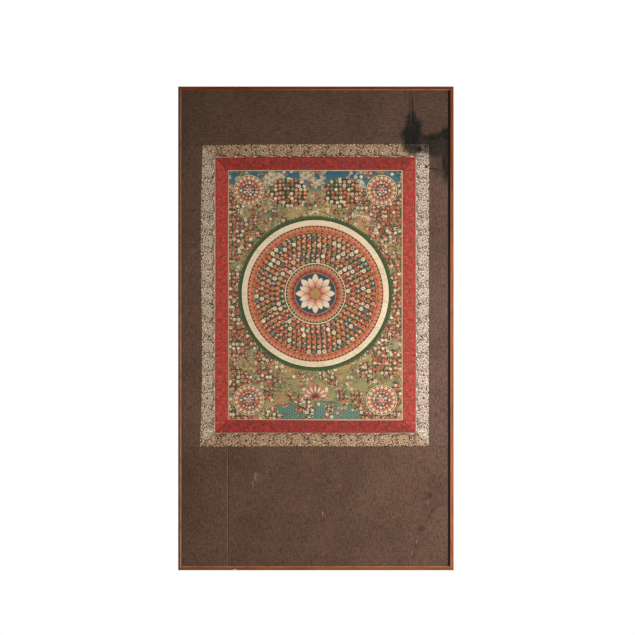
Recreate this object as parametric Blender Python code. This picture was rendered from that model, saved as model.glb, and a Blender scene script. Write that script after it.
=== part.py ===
"""A thangka scroll painting in its silk mount, stretched on a panel in a slim wooden frame.

It is modelled upright, as it hangs: X runs to the viewer's right, Z up, and the picture
faces -Y. The back lies in the plane Y = 0, against the wall, with the origin at its
centre. All sizes are in metres.

The mount is sewn edge to edge from flat pieces, from the outside in: six pieces of dark
damask ground, four mitred strips of brocade, four mitred strips of red silk, and the
painted cloth. The seams wander a little, as hand-cut and hand-sewn cloth does.
"""

import math
from typing import NamedTuple

import bmesh
import bpy
from mathutils import Vector

# ---------------------------------------------------------------- driving dimensions

FRAME_WIDTH = 0.854
FRAME_HEIGHT = 1.500
FRAME_DEPTH = 0.022

RAIL_FACE = 0.012  # a rail's width, seen from the front
RAIL_WALL = 0.006  # the part of a rail beside the panel, behind its lip
LIP_SEAT = 0.005  # from a rail's front down to the underside of its lip
ARRIS = 0.0025  # radius of the outer front edge
BEAD_START = 0.0072  # where the inner bead begins, from the rail's outer side
BEAD_WIDTH = 0.0024
BEAD_RISE = 0.0006  # how far the bead stands over the flat of the face
SLOPE_FOOT = 0.0034  # how far the inner slope drops to the lip's edge
ARC_STEPS = 6  # steps along the arris and along the bead

GAP = 0.0003  # between neighbouring pieces
TUCK = 0.004  # how far the ground cloth runs under the lip
LAID_SHORT = 0.0055  # the bare strip of panel between the cloth and the right rail

GROUND_THICK = 0.0012
BROCADE_THICK = 0.0017
RED_THICK = 0.0014
PAINTING_THICK = 0.0012

SEAM_ROLL = 0.0005  # how far a sewn edge rolls over
ROLL_STEPS = 2
ROLL_PROFILE = 0.5  # a quarter circle
STATIONS = 18  # steps along a seam from corner to corner
ROUNDING = 1e-6  # two places nearer than this are one

WIDE_SEAM_TOP = 0.299  # where the upper ground cloth is joined from two widths
WIDE_SEAM_BOTTOM = -0.273  # and the lower one


class Side(NamedTuple):
    """How far a seam strays outwards from the straight line between its corners."""

    bow: float  # at its middle
    sway: float  # a quarter of the way along, and as far inwards at three quarters


class Ring(NamedTuple):
    """A four-sided seam line: its corners as (x, z), and its sides, in clockwise order."""

    corners: tuple
    sides: tuple


# Each ring is the outer edge of one border, and so the inner edge of the next one out.
# Corners: top left, top right, bottom right, bottom left. Sides: top, right, bottom, left.
BROCADE_EDGE = Ring(
    corners=((-0.3520, 0.5684), (0.3517, 0.5735), (0.3511, -0.3655), (-0.3604, -0.3684)),
    sides=(Side(0.0016, 0.0007), Side(-0.0004, 0.0003), Side(-0.0003, 0.0006), Side(-0.0002, -0.0037)),
)
RED_EDGE = Ring(
    corners=((-0.3120, 0.5278), (0.3085, 0.5304), (0.3086, -0.3224), (-0.3124, -0.3230)),
    sides=(Side(0.0026, 0.0006), Side(0.0004, -0.0004), Side(0.0006, 0.0005), Side(-0.0004, 0.0005)),
)
PAINTING_EDGE = Ring(
    corners=((-0.2724, 0.4912), (0.2693, 0.4910), (0.2696, -0.2855), (-0.2728, -0.2841)),
    sides=(Side(0.0003, -0.0003), Side(-0.0004, 0.0003), Side(0.0004, 0.0003), Side(0.0003, -0.0004)),
)
SIDES = ("top", "right", "bottom", "left")


class Finish(NamedTuple):
    """A surface: its colour as seen, each channel 0 to 255, and its roughness."""

    seen: tuple
    roughness: float


WOOD_DARK = Finish((112, 52, 34), 0.45)
WOOD_LIT = Finish((152, 98, 64), 0.45)
PANEL_BLACK = Finish((14, 12, 11), 0.6)
GROUND_BROWN = Finish((88, 67, 54), 0.9)
BROCADE_BROWN = Finish((149, 119, 94), 0.8)
BROCADE_GREY = Finish((180, 157, 138), 0.8)
RED_CRIMSON = Finish((139, 55, 46), 0.7)
RED_ORANGE = Finish((167, 70, 60), 0.7)
PAINTED_CLOTH = Finish((153, 125, 96), 0.85)


# ---------------------------------------------------------------- materials and objects


def linear(channel: int) -> float:
    """One colour channel as seen, 0 to 255, as linear light."""
    c = channel / 255
    return c / 12.92 if c <= 0.04045 else ((c + 0.055) / 1.055) ** 2.4


def make_material(name: str, finish: Finish) -> bpy.types.Material:
    """A plain Principled material of one finish."""
    material = bpy.data.materials.new(name)
    material.use_nodes = True
    shader = material.node_tree.nodes["Principled BSDF"]
    shader.inputs["Base Color"].default_value = (*(linear(c) for c in finish.seen), 1.0)
    shader.inputs["Roughness"].default_value = finish.roughness
    shader.inputs["Metallic"].default_value = 0.0
    return material


def place(name: str, bm: bmesh.types.BMesh, finish: Finish) -> None:
    """Turns a finished bmesh into a named object with its own material."""
    bmesh.ops.recalc_face_normals(bm, faces=bm.faces)
    mesh = bpy.data.meshes.new(name)
    bm.to_mesh(mesh)
    bm.free()
    mesh.materials.append(make_material(name, finish))
    bpy.context.scene.collection.objects.link(bpy.data.objects.new(name, mesh))


# ---------------------------------------------------------------- the wooden frame


def rail_section() -> list:
    """A rail's cross-section as (in from the outer side, out from the wall)."""
    flat = FRAME_DEPTH - BEAD_RISE
    section = [(0.0, 0.0)]
    for step in range(ARC_STEPS + 1):
        turn = math.pi / 2 * step / ARC_STEPS
        section.append((ARRIS - ARRIS * math.cos(turn), flat - ARRIS + ARRIS * math.sin(turn)))
    for step in range(ARC_STEPS + 1):
        along = step / ARC_STEPS
        section.append((BEAD_START + BEAD_WIDTH * along, flat + BEAD_RISE * math.sin(math.pi * along)))
    seat = FRAME_DEPTH - LIP_SEAT
    section += [(RAIL_FACE, flat - SLOPE_FOOT), (RAIL_FACE, seat), (RAIL_WALL, seat), (RAIL_WALL, 0.0)]
    return section


def build_rail(side: str) -> None:
    """One mitred rail: the section, swept from one corner's mitre to the other."""
    across = FRAME_WIDTH if side in ("top", "bottom") else FRAME_HEIGHT
    reach = FRAME_HEIGHT if side in ("top", "bottom") else FRAME_WIDTH
    outward = 1 if side in ("top", "right") else -1
    bm = bmesh.new()
    ends = []
    for end in (-1, 1):
        ring = []
        for inward, out in rail_section():
            along = end * (across / 2 - inward - GAP / math.sqrt(2))
            level = outward * (reach / 2 - inward)
            x, z = (along, level) if side in ("top", "bottom") else (level, along)
            ring.append(bm.verts.new((x, -out, z)))
        ends.append(ring)
    near, far = ends
    for i in range(len(near)):
        bm.faces.new((near[i - 1], near[i], far[i], far[i - 1]))
    for ring in ends:
        bm.faces.new(ring)
    place(f"rail_{side}", bm, WOOD_LIT if side in ("right", "bottom") else WOOD_DARK)


def panel_front() -> float:
    """How far the panel's front stands out from the wall."""
    return FRAME_DEPTH - LIP_SEAT - GAP - GROUND_THICK - GAP


def build_panel() -> None:
    """The flat panel that the mount is stretched on, inside the rebate."""
    half_x = FRAME_WIDTH / 2 - RAIL_WALL - GAP
    half_z = FRAME_HEIGHT / 2 - RAIL_WALL - GAP
    outline = [(-half_x, half_z), (half_x, half_z), (half_x, -half_z), (-half_x, -half_z)]
    bm = bmesh.new()
    face = bm.faces.new([bm.verts.new((x, 0.0, z)) for x, z in outline])
    raised = bmesh.ops.extrude_face_region(bm, geom=[face])["geom"]
    moved = [v for v in raised if isinstance(v, bmesh.types.BMVert)]
    bmesh.ops.translate(bm, verts=moved, vec=(0.0, -panel_front(), 0.0))
    place("mount_panel", bm, PANEL_BLACK)


# ---------------------------------------------------------------- seam lines


def seam_line(ring: Ring, side: str) -> list:
    """The points of one side of a ring, clockwise from corner to corner, as Vectors (x, z)."""
    index = SIDES.index(side)
    start = Vector(ring.corners[index])
    end = Vector(ring.corners[(index + 1) % 4])
    run = end - start
    outward = Vector((-run.y, run.x)).normalized()
    stray = ring.sides[index]
    points = []
    for step in range(STATIONS + 1):
        t = step / STATIONS
        off = stray.bow * math.sin(math.pi * t) + stray.sway * math.sin(2 * math.pi * t)
        points.append(start + run * t + outward * off)
    return points


def between(points: list, low: float, high: float) -> list:
    """The stretch of a line from x = low to x = high, with its ends worked out on the line."""

    def at(x: float) -> Vector:
        for a, b in zip(points, points[1:]):
            if min(a.x, b.x) - ROUNDING <= x <= max(a.x, b.x) + ROUNDING:
                return a.lerp(b, (x - a.x) / (b.x - a.x))
        raise ValueError(f"no point of the line at x = {x}")

    inside = [p for p in points if low + ROUNDING < p.x < high - ROUNDING]
    ends = [at(low), at(high)]
    if points[0].x > points[-1].x:
        ends.reverse()
    return [ends[0], *inside, ends[1]]


def drawn_in(outline: list, distance: float) -> list:
    """A clockwise outline with every side moved inwards by the same distance."""
    result = []
    for before, here, after in zip(outline[-1:] + outline[:-1], outline, outline[1:] + outline[:1]):
        first, second = (here - before).normalized(), (after - here).normalized()
        inward_first, inward_second = Vector((first.y, -first.x)), Vector((second.y, -second.x))
        middle = (inward_first + inward_second).normalized()
        result.append(here + middle * (distance / middle.dot(inward_second)))
    return result


# ---------------------------------------------------------------- the cloth


def build_sheet(name: str, outline: list, thick: float, finish: Finish) -> None:
    """A flat piece of cloth on the panel, its front edges rolled over at the seams.

    The outline is the seam lines themselves, clockwise as seen from the front; the piece
    stops half a gap short of them.
    """
    back = panel_front() + GAP
    bm = bmesh.new()
    face = bm.faces.new([bm.verts.new((p.x, -back, p.y)) for p in drawn_in(outline, GAP / 2)])
    raised = bmesh.ops.extrude_face_region(bm, geom=[face])["geom"]
    front = [v for v in raised if isinstance(v, bmesh.types.BMVert)]
    bmesh.ops.translate(bm, verts=front, vec=(0.0, -thick, 0.0))
    rim = [e for e in bm.edges if all(v in front for v in e.verts)]
    bmesh.ops.bevel(
        bm,
        geom=rim,
        offset=SEAM_ROLL,
        offset_type="OFFSET",
        segments=ROLL_STEPS,
        profile=ROLL_PROFILE,
        affect="EDGES",
    )
    place(name, bm, finish)


def build_border(
    name: str, outer: Ring, inner: Ring, thick: float, level: Finish, upright: Finish
) -> None:
    """Four strips between two rings, mitred where they meet at the corners.

    The level strips and the upright ones catch the light differently, along their threads.
    """
    for side in SIDES:
        outline = seam_line(outer, side) + seam_line(inner, side)[::-1]
        build_sheet(f"{name}_{side}", outline, thick, level if side in ("top", "bottom") else upright)


def build_ground() -> None:
    """The dark ground cloth: a piece up each side, and two widths joined above and below."""
    half_x = FRAME_WIDTH / 2 - RAIL_FACE
    half_z = FRAME_HEIGHT / 2 - RAIL_FACE + TUCK
    left, right = -half_x - TUCK, half_x - LAID_SHORT
    top_left, top_right, bottom_right, bottom_left = (Vector(c) for c in BROCADE_EDGE.corners)

    # The seams above and below run on from the brocade's edges to the sides of the cloth.
    above, below = seam_line(BROCADE_EDGE, "top"), seam_line(BROCADE_EDGE, "bottom")
    upper = [Vector((left, top_left.y)), *above, Vector((right, top_right.y))]
    lower = [Vector((right, bottom_right.y)), *below, Vector((left, bottom_left.y))]
    widths = (
        ("ground_top_wide", left, WIDE_SEAM_TOP, upper, half_z),
        ("ground_top_narrow", WIDE_SEAM_TOP, right, upper, half_z),
        ("ground_bottom_narrow", left, WIDE_SEAM_BOTTOM, lower, -half_z),
        ("ground_bottom_wide", WIDE_SEAM_BOTTOM, right, lower, -half_z),
    )
    for name, low, high, seam, edge in widths:
        inner = between(seam, low, high)
        if edge > 0:
            outline = [Vector((low, edge)), Vector((high, edge)), *inner[::-1]]
        else:
            outline = [Vector((high, edge)), Vector((low, edge)), *inner[::-1]]
        build_sheet(name, outline, GROUND_THICK, GROUND_BROWN)

    beside_left = seam_line(BROCADE_EDGE, "left")[::-1]
    beside_right = seam_line(BROCADE_EDGE, "right")[::-1]
    outline = [upper[0], *beside_left, lower[-1]]
    build_sheet("ground_left", outline, GROUND_THICK, GROUND_BROWN)
    outline = [lower[0], *beside_right, upper[-1]]
    build_sheet("ground_right", outline, GROUND_THICK, GROUND_BROWN)


def build_painting() -> None:
    """The painted cloth in the middle of the mount."""
    outline = []
    for side in SIDES:
        outline += seam_line(PAINTING_EDGE, side)[:-1]
    build_sheet("painting", outline, PAINTING_THICK, PAINTED_CLOTH)


def main() -> None:
    """Clears the scene and builds every piece in its place."""
    for obj in list(bpy.data.objects):
        bpy.data.objects.remove(obj, do_unlink=True)
    for side in SIDES:
        build_rail(side)
    build_panel()
    build_ground()
    build_border("brocade", BROCADE_EDGE, RED_EDGE, BROCADE_THICK, BROCADE_BROWN, BROCADE_GREY)
    build_border("red", RED_EDGE, PAINTING_EDGE, RED_THICK, RED_CRIMSON, RED_ORANGE)
    build_painting()


main()
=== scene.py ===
"""The finish of a thangka scroll painting in its silk mount and slim wooden frame.

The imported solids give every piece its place. Here each piece of cloth is made again as a
fine sheet with rolled seams and its own weave, the seams get their hand stitches, the
painted cloth gets a painted garden of lotus wreaths, and the wood, the stains and the
light follow the photograph.

Axes: X to the viewer's right, Z up, the picture faces -Y. Metres throughout.
"""

import logging
import math
from dataclasses import dataclass, field, replace
from enum import Enum
from typing import Callable, Optional, Sequence

import bmesh
import bpy
import numpy as np
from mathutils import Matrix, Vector


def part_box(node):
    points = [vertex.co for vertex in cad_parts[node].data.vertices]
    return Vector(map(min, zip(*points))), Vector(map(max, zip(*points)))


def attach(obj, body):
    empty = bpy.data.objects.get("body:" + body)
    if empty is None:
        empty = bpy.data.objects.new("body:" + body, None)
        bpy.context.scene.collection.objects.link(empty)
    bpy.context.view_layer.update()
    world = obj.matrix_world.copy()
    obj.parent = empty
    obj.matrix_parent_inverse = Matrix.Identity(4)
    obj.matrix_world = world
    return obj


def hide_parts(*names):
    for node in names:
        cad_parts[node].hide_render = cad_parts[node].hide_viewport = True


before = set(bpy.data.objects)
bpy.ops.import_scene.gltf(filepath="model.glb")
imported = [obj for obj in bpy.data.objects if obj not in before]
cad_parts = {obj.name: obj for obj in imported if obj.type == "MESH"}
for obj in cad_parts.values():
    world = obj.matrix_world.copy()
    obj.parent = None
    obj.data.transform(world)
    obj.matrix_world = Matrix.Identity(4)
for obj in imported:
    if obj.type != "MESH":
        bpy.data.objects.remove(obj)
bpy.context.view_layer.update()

LOG = logging.getLogger("thangka")
Socket = bpy.types.NodeSocket
Colour = tuple[float, float, float]

# ------------------------------------------------------------------ sizes from the frame

FRAME_LOW, FRAME_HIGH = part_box("rail_left")[0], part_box("rail_right")[1]
HALF_WIDTH = (FRAME_HIGH.x - FRAME_LOW.x) / 2
HALF_HEIGHT = (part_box("rail_top")[1].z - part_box("rail_bottom")[0].z) / 2
PAINTING_LOW, PAINTING_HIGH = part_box("painting")
MM = 0.001
UPRIGHT_SIDES = ("left", "right")


class Thread(Enum):
    """Which way the main threads of a strip run."""

    LEVEL = "level"
    UPRIGHT = "upright"


# ------------------------------------------------------------------ node building


def seen(red: int, green: int, blue: int) -> Colour:
    """A colour as it looks, 0 to 255 a channel, as linear light.

    Args:
        red: Red, 0 to 255.
        green: Green, 0 to 255.
        blue: Blue, 0 to 255.

    Returns:
        The three linear channels.
    """

    def one(channel: int) -> float:
        c = channel / 255
        return c / 12.92 if c <= 0.04045 else ((c + 0.055) / 1.055) ** 2.4

    return one(red), one(green), one(blue)


def sign(operation: str, swapped: bool = False) -> Callable:
    """An arithmetic sign between two values, as one Math node."""

    def apply(value: "Value", other: object) -> "Value":
        return value.web.math(operation, *((other, value) if swapped else (value, other)))

    return apply


def reading(operation: str) -> Callable:
    """Something read from one value, as one Math node."""
    return lambda value: value.web.math(operation, value)


@dataclass(frozen=True, eq=False)
class Value:
    """What a socket gives out; arithmetic on it adds Math nodes to its tree."""

    web: "Web"
    socket: Socket

    __add__, __radd__ = sign("ADD"), sign("ADD", True)
    __sub__, __rsub__ = sign("SUBTRACT"), sign("SUBTRACT", True)
    __mul__, __rmul__ = sign("MULTIPLY"), sign("MULTIPLY", True)
    __truediv__, __rtruediv__ = sign("DIVIDE"), sign("DIVIDE", True)
    __mod__, __pow__ = sign("FLOORED_MODULO"), sign("POWER")
    __abs__, floor, fract = reading("ABSOLUTE"), reading("FLOOR"), reading("FRACT")
    root, sine, cosine, rounded = reading("SQRT"), reading("SINE"), reading("COSINE"), reading("ROUND")

    def times(self, factor: object, extra: object) -> "Value":
        """This value times a factor, plus something extra, in one node."""
        return self.web.math("MULTIPLY_ADD", self, factor, extra)

    def rise(self, low: object, high: object) -> "Value":
        """0 up to low and 1 from high on, with a soft step between; low may be over high."""
        return self.web.fed("ShaderNodeMapRange", (self, low, high), interpolation_type="SMOOTHSTEP")


class Web:
    """A node tree that is being built, with short calls for the nodes it uses most."""

    def __init__(self, tree: bpy.types.NodeTree) -> None:
        """Starts on a tree, which may already hold nodes."""
        self.tree = tree

    def add(self, kind: str, **settings: object) -> bpy.types.Node:
        """Adds a node of a kind and gives it its settings."""
        node = self.tree.nodes.new(kind)
        for name, value in settings.items():
            setattr(node, name, value)
        return node

    def feed(self, socket: Socket, value: object) -> None:
        """Links a socket to what feeds it, or sets its value."""
        value = value.socket if isinstance(value, Value) else value
        if isinstance(value, Socket):
            self.tree.links.new(value, socket)
        elif value is not None:
            if socket.type == "RGBA" and len(value) == 3:
                value = (*value, 1.0)
            socket.default_value = value

    def fed(self, kind: str, inputs: object, output: object = 0, **settings: object) -> Value:
        """Adds a node, feeds its inputs and gives one of its outputs.

        Args:
            kind: The node's type.
            inputs: What feeds it, in order or by the inputs' names.
            output: Which output is wanted.
            **settings: The node's own settings.

        Returns:
            What the output gives.
        """
        node = self.add(kind, **settings)
        for key, value in inputs.items() if isinstance(inputs, dict) else enumerate(inputs):
            self.feed(node.inputs[key], value)
        return Value(self, node.outputs[output])

    def math(self, operation: str, *values: object) -> Value:
        """One Math node."""
        return self.fed("ShaderNodeMath", values, operation=operation)

    def most(self, *values: object) -> Value:
        """The greater of two values."""
        return self.math("MAXIMUM", *values)

    def least(self, *values: object) -> Value:
        """The lesser of two values."""
        return self.math("MINIMUM", *values)

    def vector(self, operation: str, a: object, b: object) -> Value:
        """One Vector Math node with a vector result."""
        return self.fed("ShaderNodeVectorMath", (a, b), "Vector", operation=operation)

    def stretch(self, vector: object, share: object) -> Value:
        """A vector made longer or shorter by a share."""
        return self.fed("ShaderNodeVectorMath", {0: vector, "Scale": share}, operation="SCALE")

    def parted(self, kind: str, whole: object) -> list[Value]:
        """The three parts of a vector or colour, by the node type that parts it."""
        node = self.add(kind)
        self.feed(node.inputs[0], whole)
        return [Value(self, socket) for socket in node.outputs]

    def split(self, vector: object) -> list[Value]:
        """The three parts of a vector."""
        return self.parted("ShaderNodeSeparateXYZ", vector)

    def channels(self, colour: object) -> list[Value]:
        """The three channels of a colour."""
        return self.parted("ShaderNodeSeparateColor", colour)

    def part(self, vector: object, axis: int) -> Value:
        """One part of a vector: 0, 1 or 2."""
        unit = tuple(float(k == axis) for k in range(3))
        return self.fed("ShaderNodeVectorMath", (vector, unit), "Value", operation="DOT_PRODUCT")

    def pair(self, vector: object) -> tuple[Value, Value]:
        """The first two parts of a vector."""
        return self.part(vector, 0), self.part(vector, 1)

    def place(self) -> Value:
        """The place on the piece, which is also the place in the room."""
        return Value(self, self.add("ShaderNodeTexCoord").outputs["Object"])

    def scaled(self, place: object, scale: tuple[float, float, float]) -> Value:
        """A place drawn out or drawn in along each axis."""
        return self.fed("ShaderNodeMapping", {"Vector": place, "Scale": scale})

    def join(self, x: object = 0.0, y: object = 0.0, z: object = 0.0) -> Value:
        """A vector from its three parts."""
        return self.fed("ShaderNodeCombineXYZ", (x, y, z))

    def mix(self, share: object, a: object, b: object, blend: str = "MIX") -> Value:
        """A mix of two colours."""
        return self.fed("ShaderNodeMix", {0: share, 6: a, 7: b}, 2, data_type="RGBA", blend_type=blend)

    def ramp(self, value: object, stops: Sequence[tuple], smooth: bool = True) -> Value:
        """A colour ramp through stops, each a place from 0 to 1 and a colour."""
        node = self.add("ShaderNodeValToRGB")
        node.color_ramp.interpolation = "LINEAR" if smooth else "CONSTANT"
        while len(node.color_ramp.elements) < len(stops):
            node.color_ramp.elements.new(1.0)
        for element, (place, _) in zip(node.color_ramp.elements, stops):
            element.position = place
        for element, (_, colour) in zip(node.color_ramp.elements, stops):
            element.color = (*colour, 1.0)
        self.feed(node.inputs[0], value)
        return Value(self, node.outputs[0])

    def noise(self, vector: object, pitch: float, detail: float = 2.0, rough: float = 0.5,
              twist: float = 0.0) -> Value:
        """Smooth noise with blots about pitch metres wide."""
        return self.fed("ShaderNodeTexNoise", {"Vector": vector, "Scale": 1 / pitch, "Detail": detail,
                                               "Roughness": rough, "Distortion": twist})

    def dice(self, number: Callable[[], Value], output: str = "Value") -> Value:
        """A random value or colour for each whole number; the node is made before what feeds it."""
        node = self.add("ShaderNodeTexWhiteNoise", noise_dimensions="1D")
        self.feed(node.inputs["W"], number())
        return Value(self, node.outputs[output])

    def group(self, tree: bpy.types.NodeTree, **inputs: object) -> dict[str, Value]:
        """Places a shader group and feeds its inputs by name; gives its outputs by name."""
        node = self.add("ShaderNodeGroup")
        node.node_tree = tree
        for name, value in inputs.items():
            self.feed(node.inputs[name], value)
        return {socket.name: Value(self, socket) for socket in node.outputs}

    def finished(self, sink: dict[str, Socket], **values: object) -> bpy.types.NodeTree:
        """Feeds the outputs of a group by name and gives its tree."""
        for name, value in values.items():
            self.feed(sink[name], value)
        return self.tree


def opened(tree: bpy.types.NodeTree, inputs: Sequence[tuple], outputs: Sequence[tuple]) -> tuple:
    """Gives a new group its inputs and outputs.

    Args:
        tree: The new node group.
        inputs: Each input as (name, kind, value).
        outputs: Each output as (name, kind).

    Returns:
        The web to build in, the group's inputs by name, and the sockets for its outputs by name.
    """
    for label, kind, value in inputs:
        socket = tree.interface.new_socket(name=label, in_out="INPUT", socket_type="NodeSocket" + kind)
        if value is not None:
            socket.default_value = value
    for label, kind in outputs:
        tree.interface.new_socket(name=label, in_out="OUTPUT", socket_type="NodeSocket" + kind)
    web = Web(tree)
    source, sink = web.add("NodeGroupInput"), web.add("NodeGroupOutput")
    return web, {s.name: Value(web, s) for s in source.outputs}, {s.name: s for s in sink.inputs}


def effect(name: str, outputs: Sequence[object], **inputs: Optional[float]) -> tuple[Web, dict, dict]:
    """Starts a shader node group.

    Args:
        name: The group's name.
        outputs: The name of each output that is a number, and the name and kind of any other.
        **inputs: Each input's value, or None for a vector.

    Returns:
        The web to build in, its inputs by name, and the sockets for its outputs by name.
    """
    given = [(label, "Vector" if value is None else "Float", value) for label, value in inputs.items()]
    wanted = [(label, "Float") if isinstance(label, str) else label for label in outputs]
    return opened(bpy.data.node_groups.new(name, "ShaderNodeTree"), given, wanted)


# ------------------------------------------------------------------ shared effects


@dataclass(frozen=True)
class Mark:
    """A blot or streak on the cloth: its middle, half its width and height, and its turn."""

    x: float
    z: float
    across: float
    tall: float
    strength: float = 1.0
    turn: float = 0.0


# A dark green-black liquid ran down the seam at the upper right and spread along the edge.
RUN_MARKS = (
    Mark(0.2960, 0.694, 0.0085, 0.034, 0.55),
    Mark(0.2975, 0.650, 0.0165, 0.034, 0.90),
    Mark(0.2970, 0.601, 0.0350, 0.035, 1.15),
    Mark(0.3010, 0.572, 0.0350, 0.026, 1.10),
    Mark(0.3060, 0.556, 0.0400, 0.0175, 1.05),
    Mark(0.3420, 0.561, 0.0270, 0.0210, 0.96),
    Mark(0.3330, 0.590, 0.0200, 0.0130, 0.90),
    Mark(0.3020, 0.628, 0.0290, 0.0280, 1.05),
    Mark(0.3700, 0.595, 0.0520, 0.013, 1.00, 0.28),
    Mark(0.4050, 0.603, 0.0190, 0.024, 1.05),
    Mark(0.3800, 0.566, 0.0480, 0.044, 0.82),
    Mark(0.4030, 0.530, 0.0150, 0.084, 0.95),
    Mark(0.3880, 0.500, 0.0300, 0.034, 0.40),
    Mark(0.3740, 0.4925, 0.0330, 0.0040, 0.80, -0.24),
)
# Old brown spots down a slanting line at the lower right, and two broad faint ones at the left.
SPOT_MARKS = (
    Mark(0.3510, -0.4845, 0.0070, 0.0036, 0.60),
    Mark(0.3520, -0.5187, 0.0085, 0.0080, 0.95),
    Mark(0.3600, -0.5700, 0.0072, 0.0290, 0.66, -0.54),
    Mark(0.3262, -0.6211, 0.0150, 0.0120, 0.60),
    Mark(0.3020, -0.7060, 0.0036, 0.0100, 0.85),
    Mark(0.3820, -0.4610, 0.0070, 0.0085, 0.38),
    Mark(0.3758, -0.4303, 0.0016, 0.0130, 0.40),
    Mark(0.3882, -0.4890, 0.0032, 0.0140, 0.36),
    Mark(0.3480, -0.5600, 0.0240, 0.0900, 0.20, -0.25),
    Mark(0.3120, -0.6800, 0.0100, 0.0240, 0.20, -0.30),
    Mark(-0.1360, -0.6100, 0.1500, 0.0460, 0.14),
    Mark(-0.3500, -0.4270, 0.0130, 0.0080, 0.18),
)
# Places where the surface is rubbed pale.
RUBBED_MARKS = (
    Mark(-0.1885, -0.4590, 0.0028, 0.0130, 0.52, -0.30),
    Mark(-0.1955, -0.4830, 0.0025, 0.0125, 0.46, -0.16),
    Mark(-0.1800, -0.4490, 0.0070, 0.0018, 0.26, 0.20),
    Mark(-0.1540, -0.4450, 0.0032, 0.0026, 0.40),
    Mark(0.0205, -0.5735, 0.0020, 0.0082, 0.85, 0.15),
    Mark(0.3123, -0.6605, 0.0022, 0.0062, 0.80),
    Mark(0.2990, -0.6987, 0.0017, 0.0068, 0.60),
    Mark(0.3448, -0.5000, 0.0055, 0.0042, 0.18),
    Mark(0.3479, -0.5389, 0.0070, 0.0090, 0.15),
    Mark(-0.1760, -0.4640, 0.0200, 0.0150, 0.12),
)
# Places burnt darker within the stain, and a spot below it.
DEEP_MARKS = (
    Mark(0.3205, 0.5560, 0.0080, 0.0080, 1.0),
    Mark(0.2790, 0.5620, 0.0110, 0.0060, 0.6),
    Mark(0.3270, 0.5345, 0.0120, 0.0026, 0.8),
    Mark(0.3420, 0.5020, 0.0052, 0.0048, 1.0),
)
# The seams' turned edges have caught the light, and the lower one's other side lies in shade.
PALE_SEAMS = (
    Mark(-0.2746, -0.550, 0.0010, 0.250, 0.50),
    Mark(0.2955, 0.686, 0.0011, 0.062, 0.17),
    Mark(0.3046, 0.696, 0.0011, 0.048, 0.13),
)
DARK_SEAMS = (Mark(-0.2722, -0.525, 0.0014, 0.170, 0.60),)
# A chip out of the lower rail's outer arris.
CHIP = Mark(-0.2510, -0.7475, 0.0060, 0.0020)


def blot(x: Value, z: Value, mark: Mark) -> Value:
    """How strongly one mark shows at a place, from 0 to its strength."""
    cos, sin = math.cos(mark.turn), math.sin(mark.turn)
    dx, dz = x - mark.x, z - mark.z
    along = dx.times(cos / mark.across, dz * (sin / mark.across))
    up = dz.times(cos / mark.tall, dx * (-sin / mark.tall))
    far = along.times(along, up * up).root()
    return far.rise(1.25, 0.55) * mark.strength


def build_marks() -> bpy.types.NodeTree:
    """The group that puts the stains, the spots and the rubbed places where they lie, with the seams'
    painted shade among the stains and their painted highlight among the rubbed places.
    """
    web, source, sink = effect("marks", ("Stain", "Spots", "Rubbed", "Deep"), Wander=0.020)
    place = web.place()
    rough = web.noise(place, 0.022, 5.0, 0.62)
    shift = (rough - 0.5) * source["Wander"]
    straight_x, straight_z = web.part(place, 0), web.part(place, 2)
    x, z = straight_x + shift, straight_z - shift
    broken = web.noise(place, 0.012, 5.0, 0.65).rise(0.34, 0.60)
    # Painted shade of the dark seams goes in with the stains, and painted highlight of the pale seams with
    # the rubbed places.
    marked = (("Stain", RUN_MARKS, DARK_SEAMS, 0.78), ("Spots", SPOT_MARKS, (), 0.45),
              ("Rubbed", RUBBED_MARKS, PALE_SEAMS, 0.45))
    shown = {}
    for name, marks, seams, least in marked:
        total: object = 0.0
        for mark in seams:
            total = web.most(total, blot(straight_x, straight_z, mark))
        for mark in marks:
            total = web.most(total, blot(x, z, mark))
        uneven = broken.times(1 - least, least)
        shown[name] = web.least(total * uneven, 1.0)
    bend = shift * 0.25
    near_x, near_z = straight_x + bend, straight_z - bend
    deep = 0.0
    for mark in DEEP_MARKS:
        deep = web.most(deep, blot(near_x, near_z, mark))
    return web.finished(sink, **shown, Deep=deep)


def build_weave() -> bpy.types.NodeTree:
    """The group for warp and weft: threads over and under, uneven like hand-reeled silk."""
    web, source, sink = effect("weave", ("Height", "Thread"), Cloth=None, Warp=0.0007, Weft=0.0009,
                               Slub=0.4, Level=1.0)
    u, v = web.pair(source["Cloth"])
    drift = (web.noise(source["Cloth"], 0.02, 2.0) - 0.5) * 0.003
    across = (u + drift) / source["Warp"]
    along = (v + drift) / source["Weft"]
    warp = (across * math.tau).sine()
    weft = (along * math.tau).sine()
    streak_u = web.noise(web.join(u * 5.0, v), 0.018, 4.0, 0.75)
    streak_v = web.noise(web.join(u, v * 5.0), 0.018, 4.0, 0.75)
    upright = (streak_u - 0.5) * (2.0 - source["Level"])
    slub = (streak_v - 0.5).times(source["Level"], upright)
    return web.finished(sink, Height=slub.times(source["Slub"], warp * weft), Thread=slub)


def polar(web: Web, x: Value, y: Value) -> tuple[Value, Value]:
    """Distance from the middle, and the turn about it in whole turns."""
    far = x.times(x, y * y).root()
    return far, web.math("ARCTAN2", y, x) / math.tau


def ring_tile(u: Value, v: Value, pitch: Value, rows: Value, drop: float) -> tuple[Value, Value]:
    """Places in a repeat of cells, each row shifted by half a cell, measured from a cell's middle."""
    row = (v / rows + (0.5 + drop)).floor()
    half = row % 2.0 * 0.5
    column = u / pitch + (half + drop)
    cell_u = ((column + 0.5).fract() - 0.5) * pitch
    cell_v = v - (row - drop) * rows
    return cell_u, cell_v


# How long a woven line's wander to and fro is.
SHAKE_PITCH = 0.011


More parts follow.
